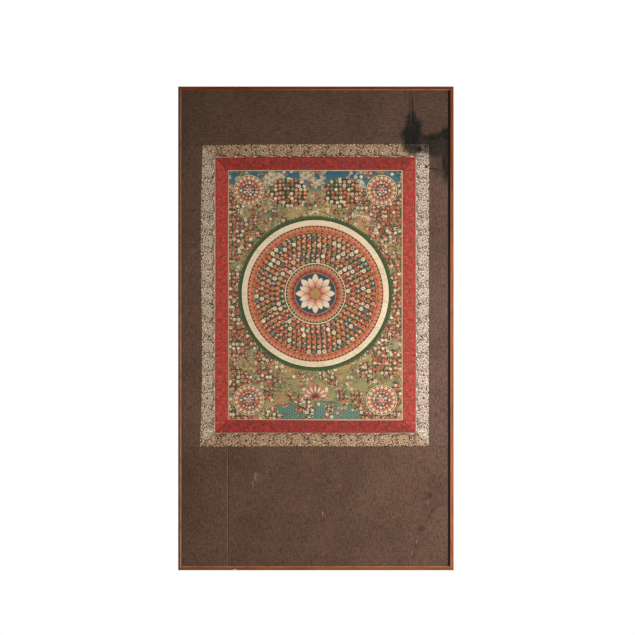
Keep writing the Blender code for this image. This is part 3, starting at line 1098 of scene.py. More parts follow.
@dataclass(frozen=True)
class PaintedCloth:
    """A lotus wreath garden painted in mineral colours on primed cotton, old and a little rubbed."""

    half_width: float
    half_height: float
    middle: tuple[float, float]
    margin: float = 3.2 * MM
    wreath_rise: float = 0.005
    pigments: Pigments = Pigments()
    surface: Surface = Surface(roughness=0.8, specular=0.25, bump=0.25, depth=0.0002)

    def landscape(self, brush: Brush) -> None:
        """Sky over meadow and bare land, with hills, cloud banks, brush strokes and a pond."""
        coats, place, p, scallops = brush.coats, brush.place, brush.palette, brush.drawing.scallops
        web = coats.web
        x, y = web.pair(place)
        drift = web.noise(place, 0.07, 4.0, 0.6)
        height = (drift - 0.5).times(0.12, y).times(0.5 / self.half_height, 0.5)
        coats.lay(1.0, web.ramp(height, (
            (0.00, p.land), (0.13, p.meadow), (0.24, p.land), (0.36, p.mist), (0.46, p.meadow),
            (0.56, p.land), (0.66, p.mist), (0.76, p.meadow), (0.86, p.mist), (0.93, p.sky),
            (1.00, p.deep_sky))))
        hills = web.group(scallops, Place=wandering(web, place, 0.045, 0.010), Pitch=0.150, Lines=1.0)
        hue = web.ramp(hills["Pick"], ((0.0, p.leaf), (0.4, p.teal), (0.7, p.ochre)), smooth=False)
        slope = Coats(web, web.mix(hills["Tone"].rise(0.62, 1.0), p.land, hue))
        slope.lay(hills["Tone"].rise(0.950, 0.975) * 0.9, p.deep_green)
        coats.lay(y.rise(0.08, 0.12) * y.rise(0.345, 0.335) * 0.85, slope.colour)
        banks = web.group(scallops, Place=place, Pitch=0.030, Lines=4.0)
        cloudy = web.noise(place, 0.055, 3.0).rise(0.52, 0.57) * y.rise(0.14, 0.22)
        tone = Coats(web, web.mix(banks["Tone"].rise(0.2, 1.0), p.land, p.cream))
        tone.lay(banks["Ink"] * 0.6, p.leaf)
        coats.lay(cloudy * 0.8, tone.colour)
        sweep = web.noise(web.scaled(place, (0.15, 1.0, 1.0)), 0.0075, 2.0)
        stroke = abs(sweep - 0.5).rise(0.036, 0.018)
        touched = web.noise(place, 0.040, 2.0).rise(0.52, 0.60)
        coats.lay(stroke * touched * 0.7, p.deep_green)
        pond = polar(web, x / 0.165, (y + 0.372) / 0.044)[0]
        waves = web.group(scallops, Place=place, Pitch=0.016, Lines=3.0)
        water = Coats(web, web.mix(waves["Tone"].rise(0.3, 1.0), p.water, p.mist))
        water.lay(waves["Ink"] * 0.7, p.deep_sky)
        shore = drift.times(0.5, pond)
        coats.lay(shore.rise(1.27, 1.23), p.leaf)
        coats.lay(shore.rise(1.22, 1.18), water.colour)

    def planting(self, brush: Brush) -> None:
        """Banks of shrubs in flower at either side, leaves about them and blossom strewn between."""
        web, place, p = brush.coats.web, brush.place, brush.palette
        x, y = web.pair(place)
        aside = abs(x).rise(0.08, 0.25)
        below_sky = y.rise(0.31, 0.36).times(-0.16, 0.0)
        lush = aside.times(0.12, web.noise(place, 0.060, 3.0, 0.6)) + below_sky
        leaves = (p.deep_green, p.leaf, p.leaf, p.deep_green)
        brush.flowers(brush.strewn(0.0095, 0.8), 3.0, leaves, lush.rise(0.46, 0.50))
        garden = web.noise(place, 0.050, 2.0).rise(0.50, 0.54)
        loose = (p.vermilion, p.cream, p.orange, p.rose, p.crimson, p.cream)
        brush.flowers(brush.strewn(0.0155, 0.75), 6.0, loose, garden, 0.80)
        bank = lush.rise(0.545, 0.555)
        brush.coats.lay(bank * 0.92, p.shade)
        brush.flowers(brush.strewn(0.0062, 0.9), 4.0, (p.cream, p.leaf, p.orange, p.teal), bank, 0.6)
        shrubs = (p.vermilion, p.cream, p.orange, p.vermilion, p.rose, p.vermilion, p.crimson, p.cream)
        brush.flowers(brush.strewn(0.0128, 0.6), 6.0, shrubs, bank, 0.90)

    def canopy(self, brush: Brush) -> None:
        """Two banks of pale flowers over the wreath, and a lotus in bloom below it."""
        coats, place, p = brush.coats, brush.place, brush.palette
        web = coats.web
        x, y = web.pair(place)
        across, up = (abs(x) - 0.083) / 0.060, (y - 0.318) / 0.046
        inside = web.noise(place, 0.02, 2.0).times(0.3, polar(web, across, up)[0]).rise(1.18, 1.12)
        coats.lay(inside, p.shade)
        hues = (p.cream, p.rose, p.cream, p.orange, p.leaf, p.vermilion)
        brush.flowers(brush.strewn(0.0125, 0.5), 7.0, hues, inside)
        low = web.vector("ADD", place, (0.0, 0.318, 0.0))
        above = web.part(low, 1).rise(-0.002, 0.0)
        kept, lotus = coats.colour, replace(brush, place=low)
        lotus.petals(0.001, 0.046, 16, 0.5, p.vermilion, p.rose)
        lotus.petals(0.001, 0.036, 14, 0.0, p.crimson, p.cream)
        coats.colour = web.mix(above, kept, coats.colour)

    def roundels(self, brush: Brush) -> None:
        """Four small lotus roundels, one towards each corner."""
        web, p = brush.coats.web, brush.palette
        x, y = web.pair(brush.place)
        across, up = abs(x) - 0.2060, abs(y) - 0.3250
        brush = replace(brush, place=web.join(across, up), far=polar(web, across, up)[0])
        brush.discs((0.0490, p.deep_green), (0.0475, p.cream), (0.0455, p.deep_green))
        brush.double_petals(0.026, 0.0450, 18, p.vermilion, p.ochre, p.cream)
        brush.discs((0.0305, p.ochre), (0.0295, p.slate))
        hues = (p.vermilion, p.cream, p.orange, p.rose)
        brush.flowers(brush.ringed(0.0085, 0.0105), 6.0, hues, brush.far.rise(0.0296, 0.0294), 0.95)
        brush.discs((0.0095, p.ink))
        brush.petals(0.001, 0.0095, 6, 0.0, p.rose, p.cream)

    def wreath(self, brush: Brush) -> None:
        """The great wreath: leaves, a cream path, petals, rings of flowers and a lotus at its heart."""
        web, p = brush.coats.web, brush.palette
        place = web.vector("SUBTRACT", brush.place, (0.0, self.wreath_rise, 0.0))
        far = polar(web, *web.pair(place))[0]
        brush = replace(brush, place=place, far=far)
        brush.discs((0.2300, p.deep_green))
        brush.double_petals(0.214, 0.2430, 84, p.deep_green, p.leaf, p.leaf)
        brush.discs((0.2290, p.ink), (0.2280, p.cream))
        brush.flowers(brush.ringed(0.2105, 0.0175), 5.0, (p.cream, p.canvas),
                      far.rise(0.2270, 0.2265) * 0.3, 0.9)
        brush.discs((0.2110, p.ink), (0.2100, p.crimson))
        brush.double_petals(0.184, 0.2095, 56, p.vermilion, p.ochre, p.rose)
        brush.discs((0.1915, p.ochre), (0.1900, p.shade))
        brush.flowers(brush.ringed(0.0860, 0.0160), 4.0, (p.cream, p.orange, p.teal),
                      far.rise(0.1902, 0.1898), 0.42)
        hues = (p.vermilion, p.cream, p.orange, p.leaf, p.vermilion, p.rose,
                p.crimson, p.vermilion, p.slate, p.cream, p.orange, p.vermilion)
        brush.flowers(brush.ringed(0.0940, 0.0160), 8.0, hues, far.rise(0.1902, 0.1898), 0.96)
        brush.discs((0.0945, p.cream), (0.0920, p.deep_green))
        brush.double_petals(0.058, 0.0915, 28, p.crimson, p.ochre, p.rose)
        brush.discs((0.0650, p.ochre), (0.0632, p.slate))
        brush.petals(0.004, 0.0610, 8, 0.5, p.orange, p.cream)
        brush.petals(0.002, 0.0520, 8, 0.0, p.vermilion, p.cream)
        brush.discs((0.0175, p.ink), (0.0165, p.ochre))
        brush.flowers(brush.ringed(0.0010, 0.0048), 4.0, (p.leaf, p.crimson), far.rise(0.0150, 0.0146), 0.8)

    def build(self, drawing: Drawing) -> bpy.types.Material:
        """Makes the material."""
        skin = self.surface.start("painted_cloth")
        web = skin.web
        p, spot = self.pigments, web.place()
        flat = web.join(web.part(spot, 0) - self.middle[0], web.part(spot, 2) - self.middle[1])
        place = wandering(web, flat, 0.010, 0.5 * MM)
        coats = Coats(web, p.land)
        brush = Brush(coats, drawing, p, place)
        for layer in (self.landscape, self.planting, self.canopy, self.roundels, self.wreath):
            layer(brush)
        x, y = web.pair(place)
        inset = web.least(self.half_width - abs(x), self.half_height - abs(y))
        coats.lay(inset.rise(self.margin + 0.8 * MM, self.margin + 0.5 * MM), p.ink)
        coats.lay(inset.rise(self.margin + 0.2 * MM, self.margin - 0.2 * MM), p.canvas)
        age = web.group(drawing.age, Place=flat)
        coats.lay(age["Rubbed"] * 0.45, p.canvas)
        coats.lay(age["Crack"] * 0.40, p.ink)
        smoke = ((0.3, (0.96, 0.93, 0.81)), (0.7, (1.13, 1.14, 1.04)))
        coats.lay(0.8, web.ramp(age["Smoke"], smoke), "MULTIPLY")
        return skin.finish(coats.colour, web.noise(flat, 0.0009, 2.0) - age["Crack"])


# ------------------------------------------------------------------ sheets of cloth

MERGE = 1e-5
CORNER_TURN = math.radians(20)
ROLL_STEPS = (0.0, 0.12, 0.35, 0.70, 1.0)
SHARP_EDGE = math.radians(50)
# The share of a sheet's thickness that its outermost edge has, before the roll reaches all of it.
EDGE_SHARE = 0.35
# The cloth lies still up to this far in from the frame's outer edge, and swells freely from here on.
HELD, FREE = 0.014, 0.040
# The swell grows over this far from a sheet's own edge.
SWELL_RUN = 0.02
# The pucker runs beside the seam, this far in from a sheet's edge and this wide.
PUCKER_LINE, PUCKER_WIDTH = 0.0035, 0.004
# How far one step of its seed moves a cut of the ground across the woven figure.
CUT_STEP = (0.011, 0.007)


def placed(name: str, data: bpy.types.ID) -> bpy.types.Object:
    """A new object in the scene."""
    thing = bpy.data.objects.new(name, data)
    bpy.context.scene.collection.objects.link(thing)
    return thing


def area_in(line: np.ndarray) -> float:
    """The area inside a closed line, negative where it runs clockwise."""
    ahead = np.roll(line, -1, axis=0)
    return float(np.sum(line[:, 0] * ahead[:, 1] - ahead[:, 0] * line[:, 1])) / 2


def outline_of(node: str) -> np.ndarray:
    """The outline of a solid's flat back.

    Args:
        node: The CAD node.

    Returns:
        Its corners in order, clockwise as seen from the front, as x and z.
    """
    solid = bmesh.new()
    solid.from_mesh(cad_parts[node].data)
    bmesh.ops.remove_doubles(solid, verts=solid.verts, dist=MERGE)
    back = max(v.co.y for v in solid.verts)
    rear = {face for face in solid.faces if all(v.co.y > back - 10 * MERGE for v in face.verts)}
    follows = {}
    for face in rear:
        for loop in face.loops:
            if all(other is face or other not in rear for other in loop.edge.link_faces):
                follows[loop.vert] = loop.link_loop_next.vert
    line = [next(iter(follows))]
    while follows[line[-1]] is not line[0]:
        line.append(follows[line[-1]])
    points = np.array([(v.co.x, v.co.z) for v in line])
    solid.free()
    return points[::-1] if area_in(points) > 0 else points


def along(line: np.ndarray, shares: np.ndarray) -> np.ndarray:
    """Points at given shares of a line's length."""
    steps = np.linalg.norm(np.diff(line, axis=0), axis=1)
    reach = np.concatenate(([0.0], np.cumsum(steps)))
    return np.stack([np.interp(shares * reach[-1], reach, line[:, k]) for k in range(2)], axis=-1)


def length_of(line: np.ndarray) -> float:
    """How long a line is."""
    return float(np.linalg.norm(np.diff(line, axis=0), axis=1).sum())


def ripple(x: np.ndarray, z: np.ndarray, pitch: float, seed: int) -> np.ndarray:
    """Uneven waves over the cloth about pitch long, from 0 to 1."""
    draw = np.random.default_rng(seed)
    total = np.zeros_like(x)
    waves = 9
    for _ in range(waves):
        heading, size = draw.uniform(0, math.tau), pitch * draw.uniform(0.7, 1.8)
        phase = draw.uniform(0, math.tau)
        total += np.sin(math.tau * (x * math.cos(heading) + z * math.sin(heading)) / size + phase)
    return np.clip(0.5 + total / (1.1 * waves), 0.0, 1.0)


def soft_step(value: np.ndarray, low: float, high: float) -> np.ndarray:
    """0 up to low, 1 from high on, and smooth between."""
    share = np.clip((value - low) / (high - low), 0.0, 1.0)
    return share * share * (3 - 2 * share)


@dataclass(frozen=True)
class Hand:
    """How a sheet is made and how it lies: mesh step, rolled edge, swell and pucker, in metres."""

    step: float
    roll: float
    swell: float
    swell_pitch: float
    pucker: float
    pucker_pitch: float


@dataclass
class Sheet:
    """One piece of cloth, made again as a fine sheet on its solid's outline."""

    node: str
    slot: str
    material: bpy.types.Material
    hand: Hand
    thread: Thread
    seed: int
    front: np.ndarray = field(init=False)
    edges: dict = field(init=False)
    grid: tuple[np.ndarray, np.ndarray] = field(init=False)
    bake_margin: float = 0.012

    def sides(self) -> dict[str, np.ndarray]:
        """The outline's four sides, left to right and bottom to top."""
        line = outline_of(self.node)
        before, after = line - np.roll(line, 1, axis=0), np.roll(line, -1, axis=0) - line
        cross = before[:, 0] * after[:, 1] - before[:, 1] * after[:, 0]
        turn = np.abs(np.arctan2(cross, (before * after).sum(axis=1)))
        low, high = line.min(axis=0), line.max(axis=0)
        unit = (line - low) / (high - low) * 2 - 1
        unit[turn < CORNER_TURN] = 0.0
        at = {name: int(np.argmax(unit @ np.array(way))) for name, way in
              (("tl", (-1, 1)), ("tr", (1, 1)), ("br", (1, -1)), ("bl", (-1, -1)))}

        def run(start: str, end: str) -> np.ndarray:
            first, last = at[start], at[end]
            count = (last - first) % len(line)
            return line[[(first + k) % len(line) for k in range(count + 1)]]

        return {"top": run("tl", "tr"), "right": run("tr", "br")[::-1],
                "bottom": run("br", "bl")[::-1], "left": run("bl", "tl")}

    def shares(self, length: float) -> np.ndarray:
        """Where the mesh lines cross a side of this length: close at the rolled edges, even between."""
        roll = np.array(ROLL_STEPS) * self.hand.roll / length
        count = max(2, round((length - 2 * self.hand.roll) / self.hand.step))
        middle = np.linspace(roll[-1], 1 - roll[-1], count + 1)[1:-1]
        return np.concatenate((roll, middle, 1 - roll[::-1]))

    def lay(self) -> None:
        """Works out the grid of the front from the outline: its places, its rolled edges and its swell."""
        self.edges = self.sides()
        sides = self.edges
        s = self.shares((length_of(sides["top"]) + length_of(sides["bottom"])) / 2)
        t = self.shares((length_of(sides["left"]) + length_of(sides["right"])) / 2)
        self.grid = s, t
        top, bottom = along(sides["top"], s), along(sides["bottom"], s)
        left, right = along(sides["left"], t), along(sides["right"], t)
        S, T = s[None, :, None], t[:, None, None]
        flat = (1 - T) * bottom[None] + T * top[None] + (1 - S) * left[:, None] + S * right[:, None]
        flat -= ((1 - S) * (1 - T) * bottom[0] + S * (1 - T) * bottom[-1]
                 + (1 - S) * T * top[0] + S * T * top[-1])
        x, z = flat[..., 0], flat[..., 1]
        inset = self.inset(flat)
        low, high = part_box(self.node)
        hand = self.hand
        round_off = np.sqrt(1 - (1 - np.clip(inset / hand.roll, 0, 1)) ** 2)
        height = (high.y - low.y) * (EDGE_SHARE + (1 - EDGE_SHARE) * round_off)
        free = soft_step(np.minimum(HALF_WIDTH - np.abs(x), HALF_HEIGHT - np.abs(z)), HELD, FREE)
        swell = hand.swell * free * soft_step(inset, 0.0, SWELL_RUN)
        height += swell * ripple(x, z, hand.swell_pitch, self.seed)
        near = np.exp(-(((inset - PUCKER_LINE) / PUCKER_WIDTH) ** 2))
        height += hand.pucker * free * near * ripple(x, z, hand.pucker_pitch, self.seed + 1)
        self.front = np.stack((x, high.y - height, z), axis=-1)

    def inset(self, flat: np.ndarray) -> np.ndarray:
        """How far each place lies in from the nearest side."""
        nearest = np.full(flat.shape[:2], np.inf)
        for line in self.edges.values():
            for start, end in zip(line[:-1], line[1:]):
                way = end - start
                share = np.clip(((flat - start) @ way) / max(float(way @ way), 1e-12), 0, 1)
                away = np.linalg.norm(flat - start - share[..., None] * way, axis=-1)
                nearest = np.minimum(nearest, away)
        return nearest

    def rim(self) -> np.ndarray:
        """The numbers of the front's outer points, once round."""
        rows, columns = self.front.shape[:2]
        at = np.arange(rows * columns).reshape(rows, columns)
        return np.concatenate((at[0, :-1], at[:-1, -1], at[-1, :0:-1], at[:0:-1, 0]))

    def build(self) -> None:
        self.lay()
        rows, columns = self.front.shape[:2]
        back = self.front.copy()
        back[..., 1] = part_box(self.node)[1].y
        points = np.concatenate((self.front.reshape(-1, 3), back.reshape(-1, 3)))
        at = np.arange(rows * columns).reshape(rows, columns)
        quads = np.stack((at[:-1, :-1], at[:-1, 1:], at[1:, 1:], at[1:, :-1]), axis=-1).reshape(-1, 4)
        rim = self.rim()
        ahead = np.roll(rim, -1)
        behind = rows * columns
        walls = np.stack((ahead, rim, rim + behind, ahead + behind), axis=-1)
        faces = np.concatenate((quads[:, ::-1] + behind, walls, quads))
        mesh = bpy.data.meshes.new(self.node + "_cloth")
        mesh.from_pydata(points.tolist(), [], faces.tolist())
        self.map_cloth(mesh, points)
        self.map_bake(mesh)
        mesh.shade_smooth()
        mesh.set_sharp_from_angle(angle=SHARP_EDGE)
        mesh.materials.append(self.material)
        self.declare(placed(self.node + "_cloth", mesh))

    def map_cloth(self, mesh: bpy.types.Mesh, points: np.ndarray) -> None:
        """Gives the mesh its cloth map, in metres along and across the threads."""
        low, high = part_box(self.node)
        x, z = points[:, 0], points[:, 2]
        if self.slot == "ground_damask":
            cloth = np.stack((x + CUT_STEP[0] * self.seed, z + CUT_STEP[1] * self.seed), axis=-1)
        else:
            out = {"top": z - low.z, "bottom": high.z - z, "left": high.x - x, "right": x - low.x, "": z}
            side = self.node.partition("_")[2]
            cloth = np.stack((x if self.thread is Thread.LEVEL else z, out[side]), axis=-1)
        corners = np.empty(len(mesh.loops), dtype=np.int64)
        mesh.loops.foreach_get("vertex_index", corners)
        self.write_map(mesh, CLOTH_MAP, cloth[corners])

    @staticmethod
    def write_map(mesh: bpy.types.Mesh, name: str, places: np.ndarray) -> None:
        """Gives the mesh a map with one place for each corner of its faces."""
        mesh.uv_layers.new(name=name).uv.foreach_set("vector", places.astype(np.float32).ravel())

    def map_bake(self, mesh: bpy.types.Mesh) -> None:
        """Gives the mesh a map that fills the square: a long strip is folded into lengths side by side.

        The back lies under the front, and the walls lie in the margin beside it.
        """
        s, t = self.grid
        low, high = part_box(self.node)
        wide, tall = high.x - low.x, high.z - low.z
        long, short = (s, t) if wide > tall else (t, s)
        lengths = max(1, round(math.sqrt(max(wide, tall) / min(wide, tall))))
        folds = np.round(np.linspace(0, len(long) - 1, lengths + 1)).astype(int)
        fold_of = np.repeat(np.arange(lengths), np.diff(folds))
        margin, used = self.bake_margin, 1 - 2 * self.bake_margin

        def place(along: np.ndarray, across: np.ndarray, fold: np.ndarray) -> np.ndarray:
            """The map's place for a point of a length, each share running from 0 to 1 on the front."""
            start, end = long[folds[fold]], long[folds[fold + 1]]
            u = margin + used * (along - start) / (end - start)
            return np.stack((u, (fold + margin + used * across) / lengths), axis=-1)

        j, i = (k.ravel() for k in np.indices((len(t) - 1, len(s) - 1)))
        corner = np.array(((0, 0), (1, 0), (1, 1), (0, 1)))
        at_s, at_t = i[:, None] + corner[:, 0], j[:, None] + corner[:, 1]
        a, b, first = (at_s, at_t, i) if wide > tall else (at_t, at_s, j)
        fold = np.repeat(fold_of[first][:, None], 4, axis=1)
        front = place(long[a], short[b], fold)

        # A wall's near corners lie on the front's edge and its far ones half a margin out.
        rim = np.stack(np.divmod(self.rim(), len(s))[::-1], axis=-1)
        near = np.stack((np.roll(rim, -1, axis=0), rim), axis=1)
        near = near if wide > tall else near[..., ::-1]
        fold = np.repeat(fold_of[near[..., 0].min(axis=1).clip(max=len(fold_of) - 1)][:, None], 2, axis=1)
        inner = place(long[near[..., 0]], short[near[..., 1]], fold)
        level = near[:, 0, 1] == near[:, 1, 1]
        away = np.where(level, np.where(near[:, 0, 1] == 0, -1, 1), np.where(near[:, 0, 0] == 0, -1, 1))
        reach = away * self.bake_margin / 2
        step = np.where(level[:, None], np.stack((np.zeros(len(reach)), reach / lengths), axis=-1),
                        np.stack((reach, np.zeros(len(reach))), axis=-1))
        outer = inner + step[:, None]
        walls = np.concatenate((inner, outer[:, ::-1]), axis=1)
        uv = np.concatenate((front[:, ::-1].reshape(-1, 2), walls.reshape(-1, 2), front.reshape(-1, 2)))
        self.write_map(mesh, BAKE_MAP, uv)

    def declare(self, piece: bpy.types.Object) -> None:
        """Hangs the piece on the root body and hides the solid it was made from."""
        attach(piece, "root")
        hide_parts(self.node)


# ------------------------------------------------------------------ stitches


def geometry_tree(name: str, inputs: Sequence[tuple]) -> tuple[Web, dict, dict]:
    """Starts a Geometry Nodes tree.

    Args:
        name: The tree's name.
        inputs: Each input as (name, kind, value).

    Returns:
        The web to build in, its inputs by name, and the sockets for its outputs by name.
    """
    tree = bpy.data.node_groups.new(name, "GeometryNodeTree")
    inputs = (("Geometry", "Geometry", None), *inputs)
    return opened(tree, inputs, (("Geometry", "Geometry"),))


def stitch_tree() -> bpy.types.NodeTree:
    """The tree that sews a row of slanted stitches along each line it is given."""
    web, source, sink = geometry_tree("stitches", [
        ("Pitch", "Float", 0.005), ("Length", "Float", 0.0026), ("Thread", "Float", 0.00045),
        ("Slant", "Float", 0.35), ("Seed", "Int", 1), ("Silk", "Material", None)])
    curve = web.fed("GeometryNodeMeshToCurve", {"Mesh": source["Geometry"]})
    spaced = {"Curve": curve, "Length": source["Pitch"]}
    points = web.add("GeometryNodeCurveToPoints", mode="EVALUATED")
    web.feed(points.inputs["Curve"], web.fed("GeometryNodeResampleCurve", spaced, mode="LENGTH"))
    turn = web.fed("FunctionNodeAlignRotationToVector", {"Vector": points.outputs["Tangent"]}, axis="X")
    slant = source["Slant"]
    span = {2: slant * 0.6, 3: slant * 1.4, "Seed": source["Seed"]}
    lean = web.fed("FunctionNodeRandomValue", span, 1, data_type="FLOAT")
    tilt = web.fed("FunctionNodeAxisAngleToRotation", {"Axis": (0.0, 1.0, 0.0), "Angle": lean})
    rotation = web.fed("FunctionNodeRotateRotation", {"Rotation": turn, "Rotate By": tilt},
                       rotation_space="GLOBAL")
    stitch = web.fed("GeometryNodeMeshUVSphere", {"Segments": 6, "Rings": 5, "Radius": 0.5}, "Mesh")
    lying = web.fed("GeometryNodeTransform", {"Geometry": stitch, "Rotation": (0.0, math.pi / 2, 0.0)})
    size = web.join(source["Length"], source["Thread"], source["Thread"])
    sized = web.fed("GeometryNodeTransform", {"Geometry": lying, "Scale": size})
    sewn = web.fed("GeometryNodeInstanceOnPoints",
                   {"Points": points.outputs["Points"], "Instance": sized, "Rotation": rotation})
    real = web.fed("GeometryNodeRealizeInstances", (sewn,))
    smooth = web.fed("GeometryNodeSetShadeSmooth", {"Geometry": real})
    silk = web.fed("GeometryNodeSetMaterial", {"Geometry": smooth, "Material": source["Silk"]})
    return web.finished(sink, Geometry=silk)


def grown(name: str, carrier: bpy.types.Mesh, tree: bpy.types.NodeTree,
          **values: object) -> bpy.types.Object:
    """Runs a Geometry Nodes tree on a carrier mesh and keeps the plain mesh that it makes.

    Args:
        name: The finished piece's name.
        carrier: The mesh that the tree starts from.
        tree: The tree.
        **values: Its inputs by name, an underscore for a space.

    Returns:
        The finished piece, with no modifier left on it.
    """
    piece = placed(name, carrier)
    modifier = piece.modifiers.new(name, "NODES")
    modifier.node_group = tree
    keys = {item.name: item.identifier for item in tree.interface.items_tree if item.in_out == "INPUT"}
    for label, value in values.items():
        modifier[keys[label.replace("_", " ")]] = value
    graph = bpy.context.evaluated_depsgraph_get()
    made = bpy.data.meshes.new_from_object(piece.evaluated_get(graph), depsgraph=graph)
    made.name = name
    piece.modifiers.remove(modifier)
    piece.data = made
    return piece


@dataclass
class Sewn:
    """The rows of stitches that hold one family of strips down."""

    name: str
    slot: str
    silk: bpy.types.Material
    seed: int
    inset_lines: int = 5
    lines: list = field(default_factory=list)

    def take(self, sheet: Sheet, outer: bool, inner: bool) -> None:
        """Adds the seam lines of a strip: its outer side, its inner side or both."""
        rows = sheet.front if sheet.thread is Thread.LEVEL else sheet.front.transpose(1, 0, 2)
        first_is_outer = sheet.node.endswith(("bottom", "left"))
        for wanted, near_start in ((outer, first_is_outer), (inner, not first_is_outer)):
            if wanted:
                line = rows[self.inset_lines if near_start else -1 - self.inset_lines]
                self.lines.append(line[self.inset_lines:-self.inset_lines])

    def build(self, tree: bpy.types.NodeTree) -> None:
        """Sews the stitches along the lines taken."""
        points, edges = [], []
        for line in self.lines:
            start = len(points)
            points += line.tolist()
            edges += [(start + k, start + k + 1) for k in range(len(line) - 1)]
        carrier = bpy.data.meshes.new(self.name)
        carrier.from_pydata(points, edges, [])
        piece = grown(self.name, carrier, tree, Seed=self.seed, Silk=self.silk)
        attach(piece, "root")
        LOG.info("%s: %d faces", piece.name, len(piece.data.polygons))


# ------------------------------------------------------------------ the whole piece


@dataclass
class Mount:
    """The silk and brocade mount with the painted cloth in its middle."""

    effects: Effects
    ground_hand: Hand = Hand(0.0050, 0.0012, 0.00045, 0.11, 0.0, 0.02)
    brocade_hand: Hand = Hand(0.0025, 0.0013, 0.00030, 0.05, 0.00025, 0.011)
    red_hand: Hand = Hand(0.0025, 0.0011, 0.00030, 0.06, 0.00025, 0.012)
    painted_hand: Hand = Hand(0.0036, 0.0010, 0.00035, 0.14, 0.00010, 0.016)
    painting_seed: int = 90
    ground_seed: int = 10
    brocade_seed: int = 40
    red_seed: int = 60
    seed_step: int = 3

    def build(self) -> None:
        """Makes every sheet of the mount."""
        silks = (
            # The three damask cuts differ in how their slubs run and in painted light and shade.
            Damask("damask_across", level=1.35),
            Damask("damask_upright", tone=(1.08, 1.07, 1.07)),
            Damask("damask_low", tone=(0.97, 0.95, 0.88), level=0.7),
            # Level and upright strips of one brocade and of one red silk are lighter and darker copies of
            # one set of colours: painted sheen. The brocade's last number is its painted light towards the
            # right.
            Brocade("brocade_level", seen(139, 107, 82), seen(218, 182, 146), seen(28, 17, 10),
                    seen(132, 118, 80), seen(170, 128, 104), 1.05),
            Brocade("brocade_upright", seen(170, 147, 126), seen(234, 213, 190), seen(50, 40, 30),
                    seen(164, 150, 118), seen(194, 163, 146), 1.10),
            RedSilk("red_level", seen(146, 47, 40), seen(126, 49, 39), seen(154, 38, 40),
                    seen(168, 64, 52)),
            RedSilk("red_upright", seen(170, 61, 50), seen(154, 64, 48), seen(170, 49, 47),
                    seen(192, 84, 66)),
        )
        cloths = {silk.name: silk.build(self.effects) for silk in silks}
        width, height = PAINTING_HIGH.x - PAINTING_LOW.x, PAINTING_HIGH.z - PAINTING_LOW.z
        middle = ((PAINTING_HIGH.x + PAINTING_LOW.x) / 2, (PAINTING_HIGH.z + PAINTING_LOW.z) / 2)
        picture = PaintedCloth(width / 2, height / 2, middle).build(Drawing())
        sheets = [Sheet("painting", "painted_cloth", picture, self.painted_hand, Thread.LEVEL,
                        self.painting_seed)]
        cuts = (("top_wide", "across"), ("top_narrow", "across"), ("left", "upright"),
                ("right", "upright"), ("bottom_narrow", "low"), ("bottom_wide", "low"))
        for k, (part, cut) in enumerate(cuts):
            sheets.append(Sheet("ground_" + part, "ground_damask", cloths["damask_" + cut],
                                self.ground_hand, Thread.LEVEL, self.ground_seed + self.seed_step * k))
        strips = (("brocade_", self.brocade_hand, self.brocade_seed),
                  ("red_", self.red_hand, self.red_seed))
        for k, side in enumerate(("top", "right", "bottom", "left")):
            thread = Thread.UPRIGHT if side in UPRIGHT_SIDES else Thread.LEVEL
            for kind, hand, first in strips:
                slot, seed = kind + thread.value, first + self.seed_step * k
                sheets.append(Sheet(kind + side, slot, cloths[slot], hand, thread, seed))
        for sheet in sheets:
            sheet.build()
        self.sew({sheet.node: sheet for sheet in sheets})

    def sew(self, made: dict[str, Sheet]) -> None:
        """Sews the strips down beside their seams."""
        tree = stitch_tree()
        cream = Sewing("thread_cream", seen(186, 162, 132)).build()
        red = Sewing("thread_red", seen(124, 34, 32)).build()
        pale = Sewn("stitches_brocade", "brocade_level", cream, 5)
        dark = Sewn("stitches_red", "red_level", red, 6)
        for side in ("top", "right", "bottom", "left"):
            pale.take(made["brocade_" + side], outer=True, inner=False)
            dark.take(made["red_" + side], outer=True, inner=True)
        pale.build(tree)
        dark.build(tree)


@dataclass
class Frame:
    """The wooden rails and the panel, which keep their solids' shapes."""

    effects: Effects

    def build(self) -> None:
        """Dresses each rail in wood with its grain along it, and the panel in paint."""
        woods = (
            # The four rails are lighter and darker copies of one wood, painted light on the right and lower
            # rails and painted shade on the top and left ones.
            Wood("top", seen(122, 52, 20), seen(70, 22, 10), 1.2 * MM, (8.8 * MM, 11.8 * MM), 0.44,
                 kept=(0.12, -0.32, 0.12)),
            Wood("right", seen(146, 78, 44), seen(120, 50, 40), 0.8 * MM, (6.4 * MM, 11.0 * MM), 0.42,
                 kept=(0.05, 0.62, 0.0), inner=seen(46, 16, 8), shade=(0.74, 0.66, 0.10)),
            Wood("bottom", seen(142, 72, 36), seen(116, 62, 34), 1.0 * MM, (9.3 * MM, 12.8 * MM), 0.80),
            Wood("left", seen(118, 56, 36), seen(118, 10, 10), 4.8 * MM, (5.1 * MM, 9.8 * MM), 0.92,
                 kept=(0.70, 0.45, -0.15), inner=seen(88, 54, 34), shade=(0.66, 0.66, -0.10)),
        )
        dress = {"rail_" + wood.side: wood.build(self.effects) for wood in woods}
        dress["mount_panel"] = PanelPaint().build()
        for node, material in dress.items():
            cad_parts[node].material_slots[0].material = material
            LOG.info("%s: dressed in %s", node, material.name)


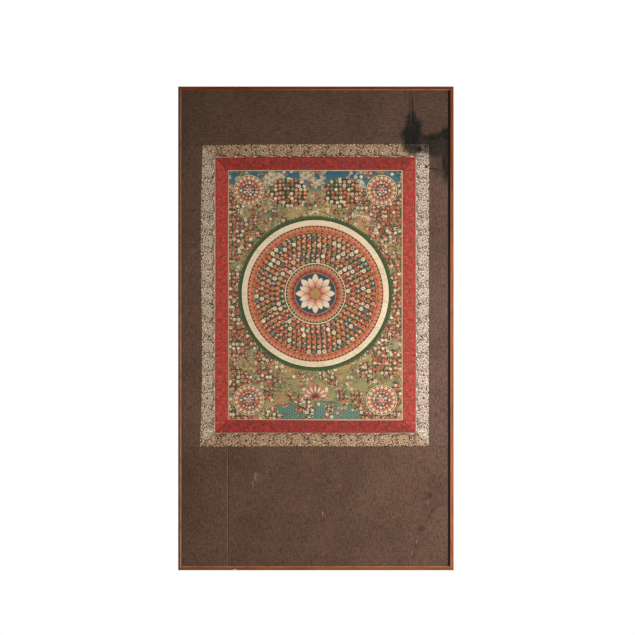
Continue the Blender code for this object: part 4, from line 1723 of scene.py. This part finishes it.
@dataclass
class Studio:
    """The pale floor, the soft light and the camera."""

    aim: tuple[float, float, float] = (0.0050, -0.0167, 0.0337)
    reach: float = 5.0
    view_width: float = 1.970
    sensor: float = 36.0
    floor_drop: float = 1.02
    floor_near: float = -1.2
    floor_far: float = 0.25
    floor_side: float = 1.6
    white: float = 1.0
    ambient: float = 0.24
    key_place: tuple[float, float, float] = (1.02, -1.42, -0.20)
    key_size: float = 0.9
    key_power: float = 29.0

    def build(self) -> None:
        """Sets up the studio."""
        scene = bpy.context.scene
        scene.view_settings.view_transform = "Standard"
        lens = bpy.data.cameras.new("camera")
        lens.sensor_width = self.sensor
        lens.lens = self.sensor * self.reach / self.view_width
        camera = placed("camera", lens)
        camera.location = Vector(self.aim) - Vector((0.0, self.reach, 0.0))
        camera.rotation_euler = (math.pi / 2, 0.0, 0.0)
        scene.camera = camera
        self.light_world(scene)
        lamp = bpy.data.lights.new("key", "AREA")
        lamp.size, lamp.energy = self.key_size, self.key_power
        key = placed("key", lamp)
        key.location = self.key_place
        key.visible_camera = False
        key.rotation_euler = (Vector(self.aim) - key.location).to_track_quat("-Z", "Y").to_euler()
        self.lay_floor()

    def light_world(self, scene: bpy.types.Scene) -> None:
        """White behind the piece as seen, and a softer even light on it."""
        world = bpy.data.worlds.new("studio")
        world.use_nodes = True
        web = Web(world.node_tree)
        sky = world.node_tree.nodes["Background"]
        looked_at = web.fed("ShaderNodeLightPath", (), "Is Camera Ray")
        web.feed(sky.inputs["Color"], (1.0, 1.0, 1.0))
        web.feed(sky.inputs["Strength"], looked_at.times(self.white - self.ambient, self.ambient))
        scene.world = world

    def lay_floor(self) -> None:
        """A pale floor under and in front of the piece."""
        mesh = bpy.data.meshes.new("floor")
        near, far, side, z = self.floor_near, self.floor_far, self.floor_side, -self.floor_drop
        corners = [(-side, near, z), (side, near, z), (side, far, z), (-side, far, z)]
        mesh.from_pydata(corners, [], [(0, 1, 2, 3)])
        skin = Surface(roughness=0.9, specular=0.2).start("floor")
        tone = skin.web.noise(skin.web.place(), 0.3, 2.0)
        mesh.materials.append(skin.finish(skin.web.mix(tone, (0.80,) * 3, (0.84,) * 3)))
        floor = placed("floor", mesh)


def main() -> None:
    """Builds the studio, the frame and the mount, in that order."""
    logging.basicConfig(level=logging.INFO, format="%(name)s %(message)s")
    effects = Effects()
    Studio().build()
    Frame(effects).build()
    Mount(effects).build()


if __name__ == "__main__":
    main()
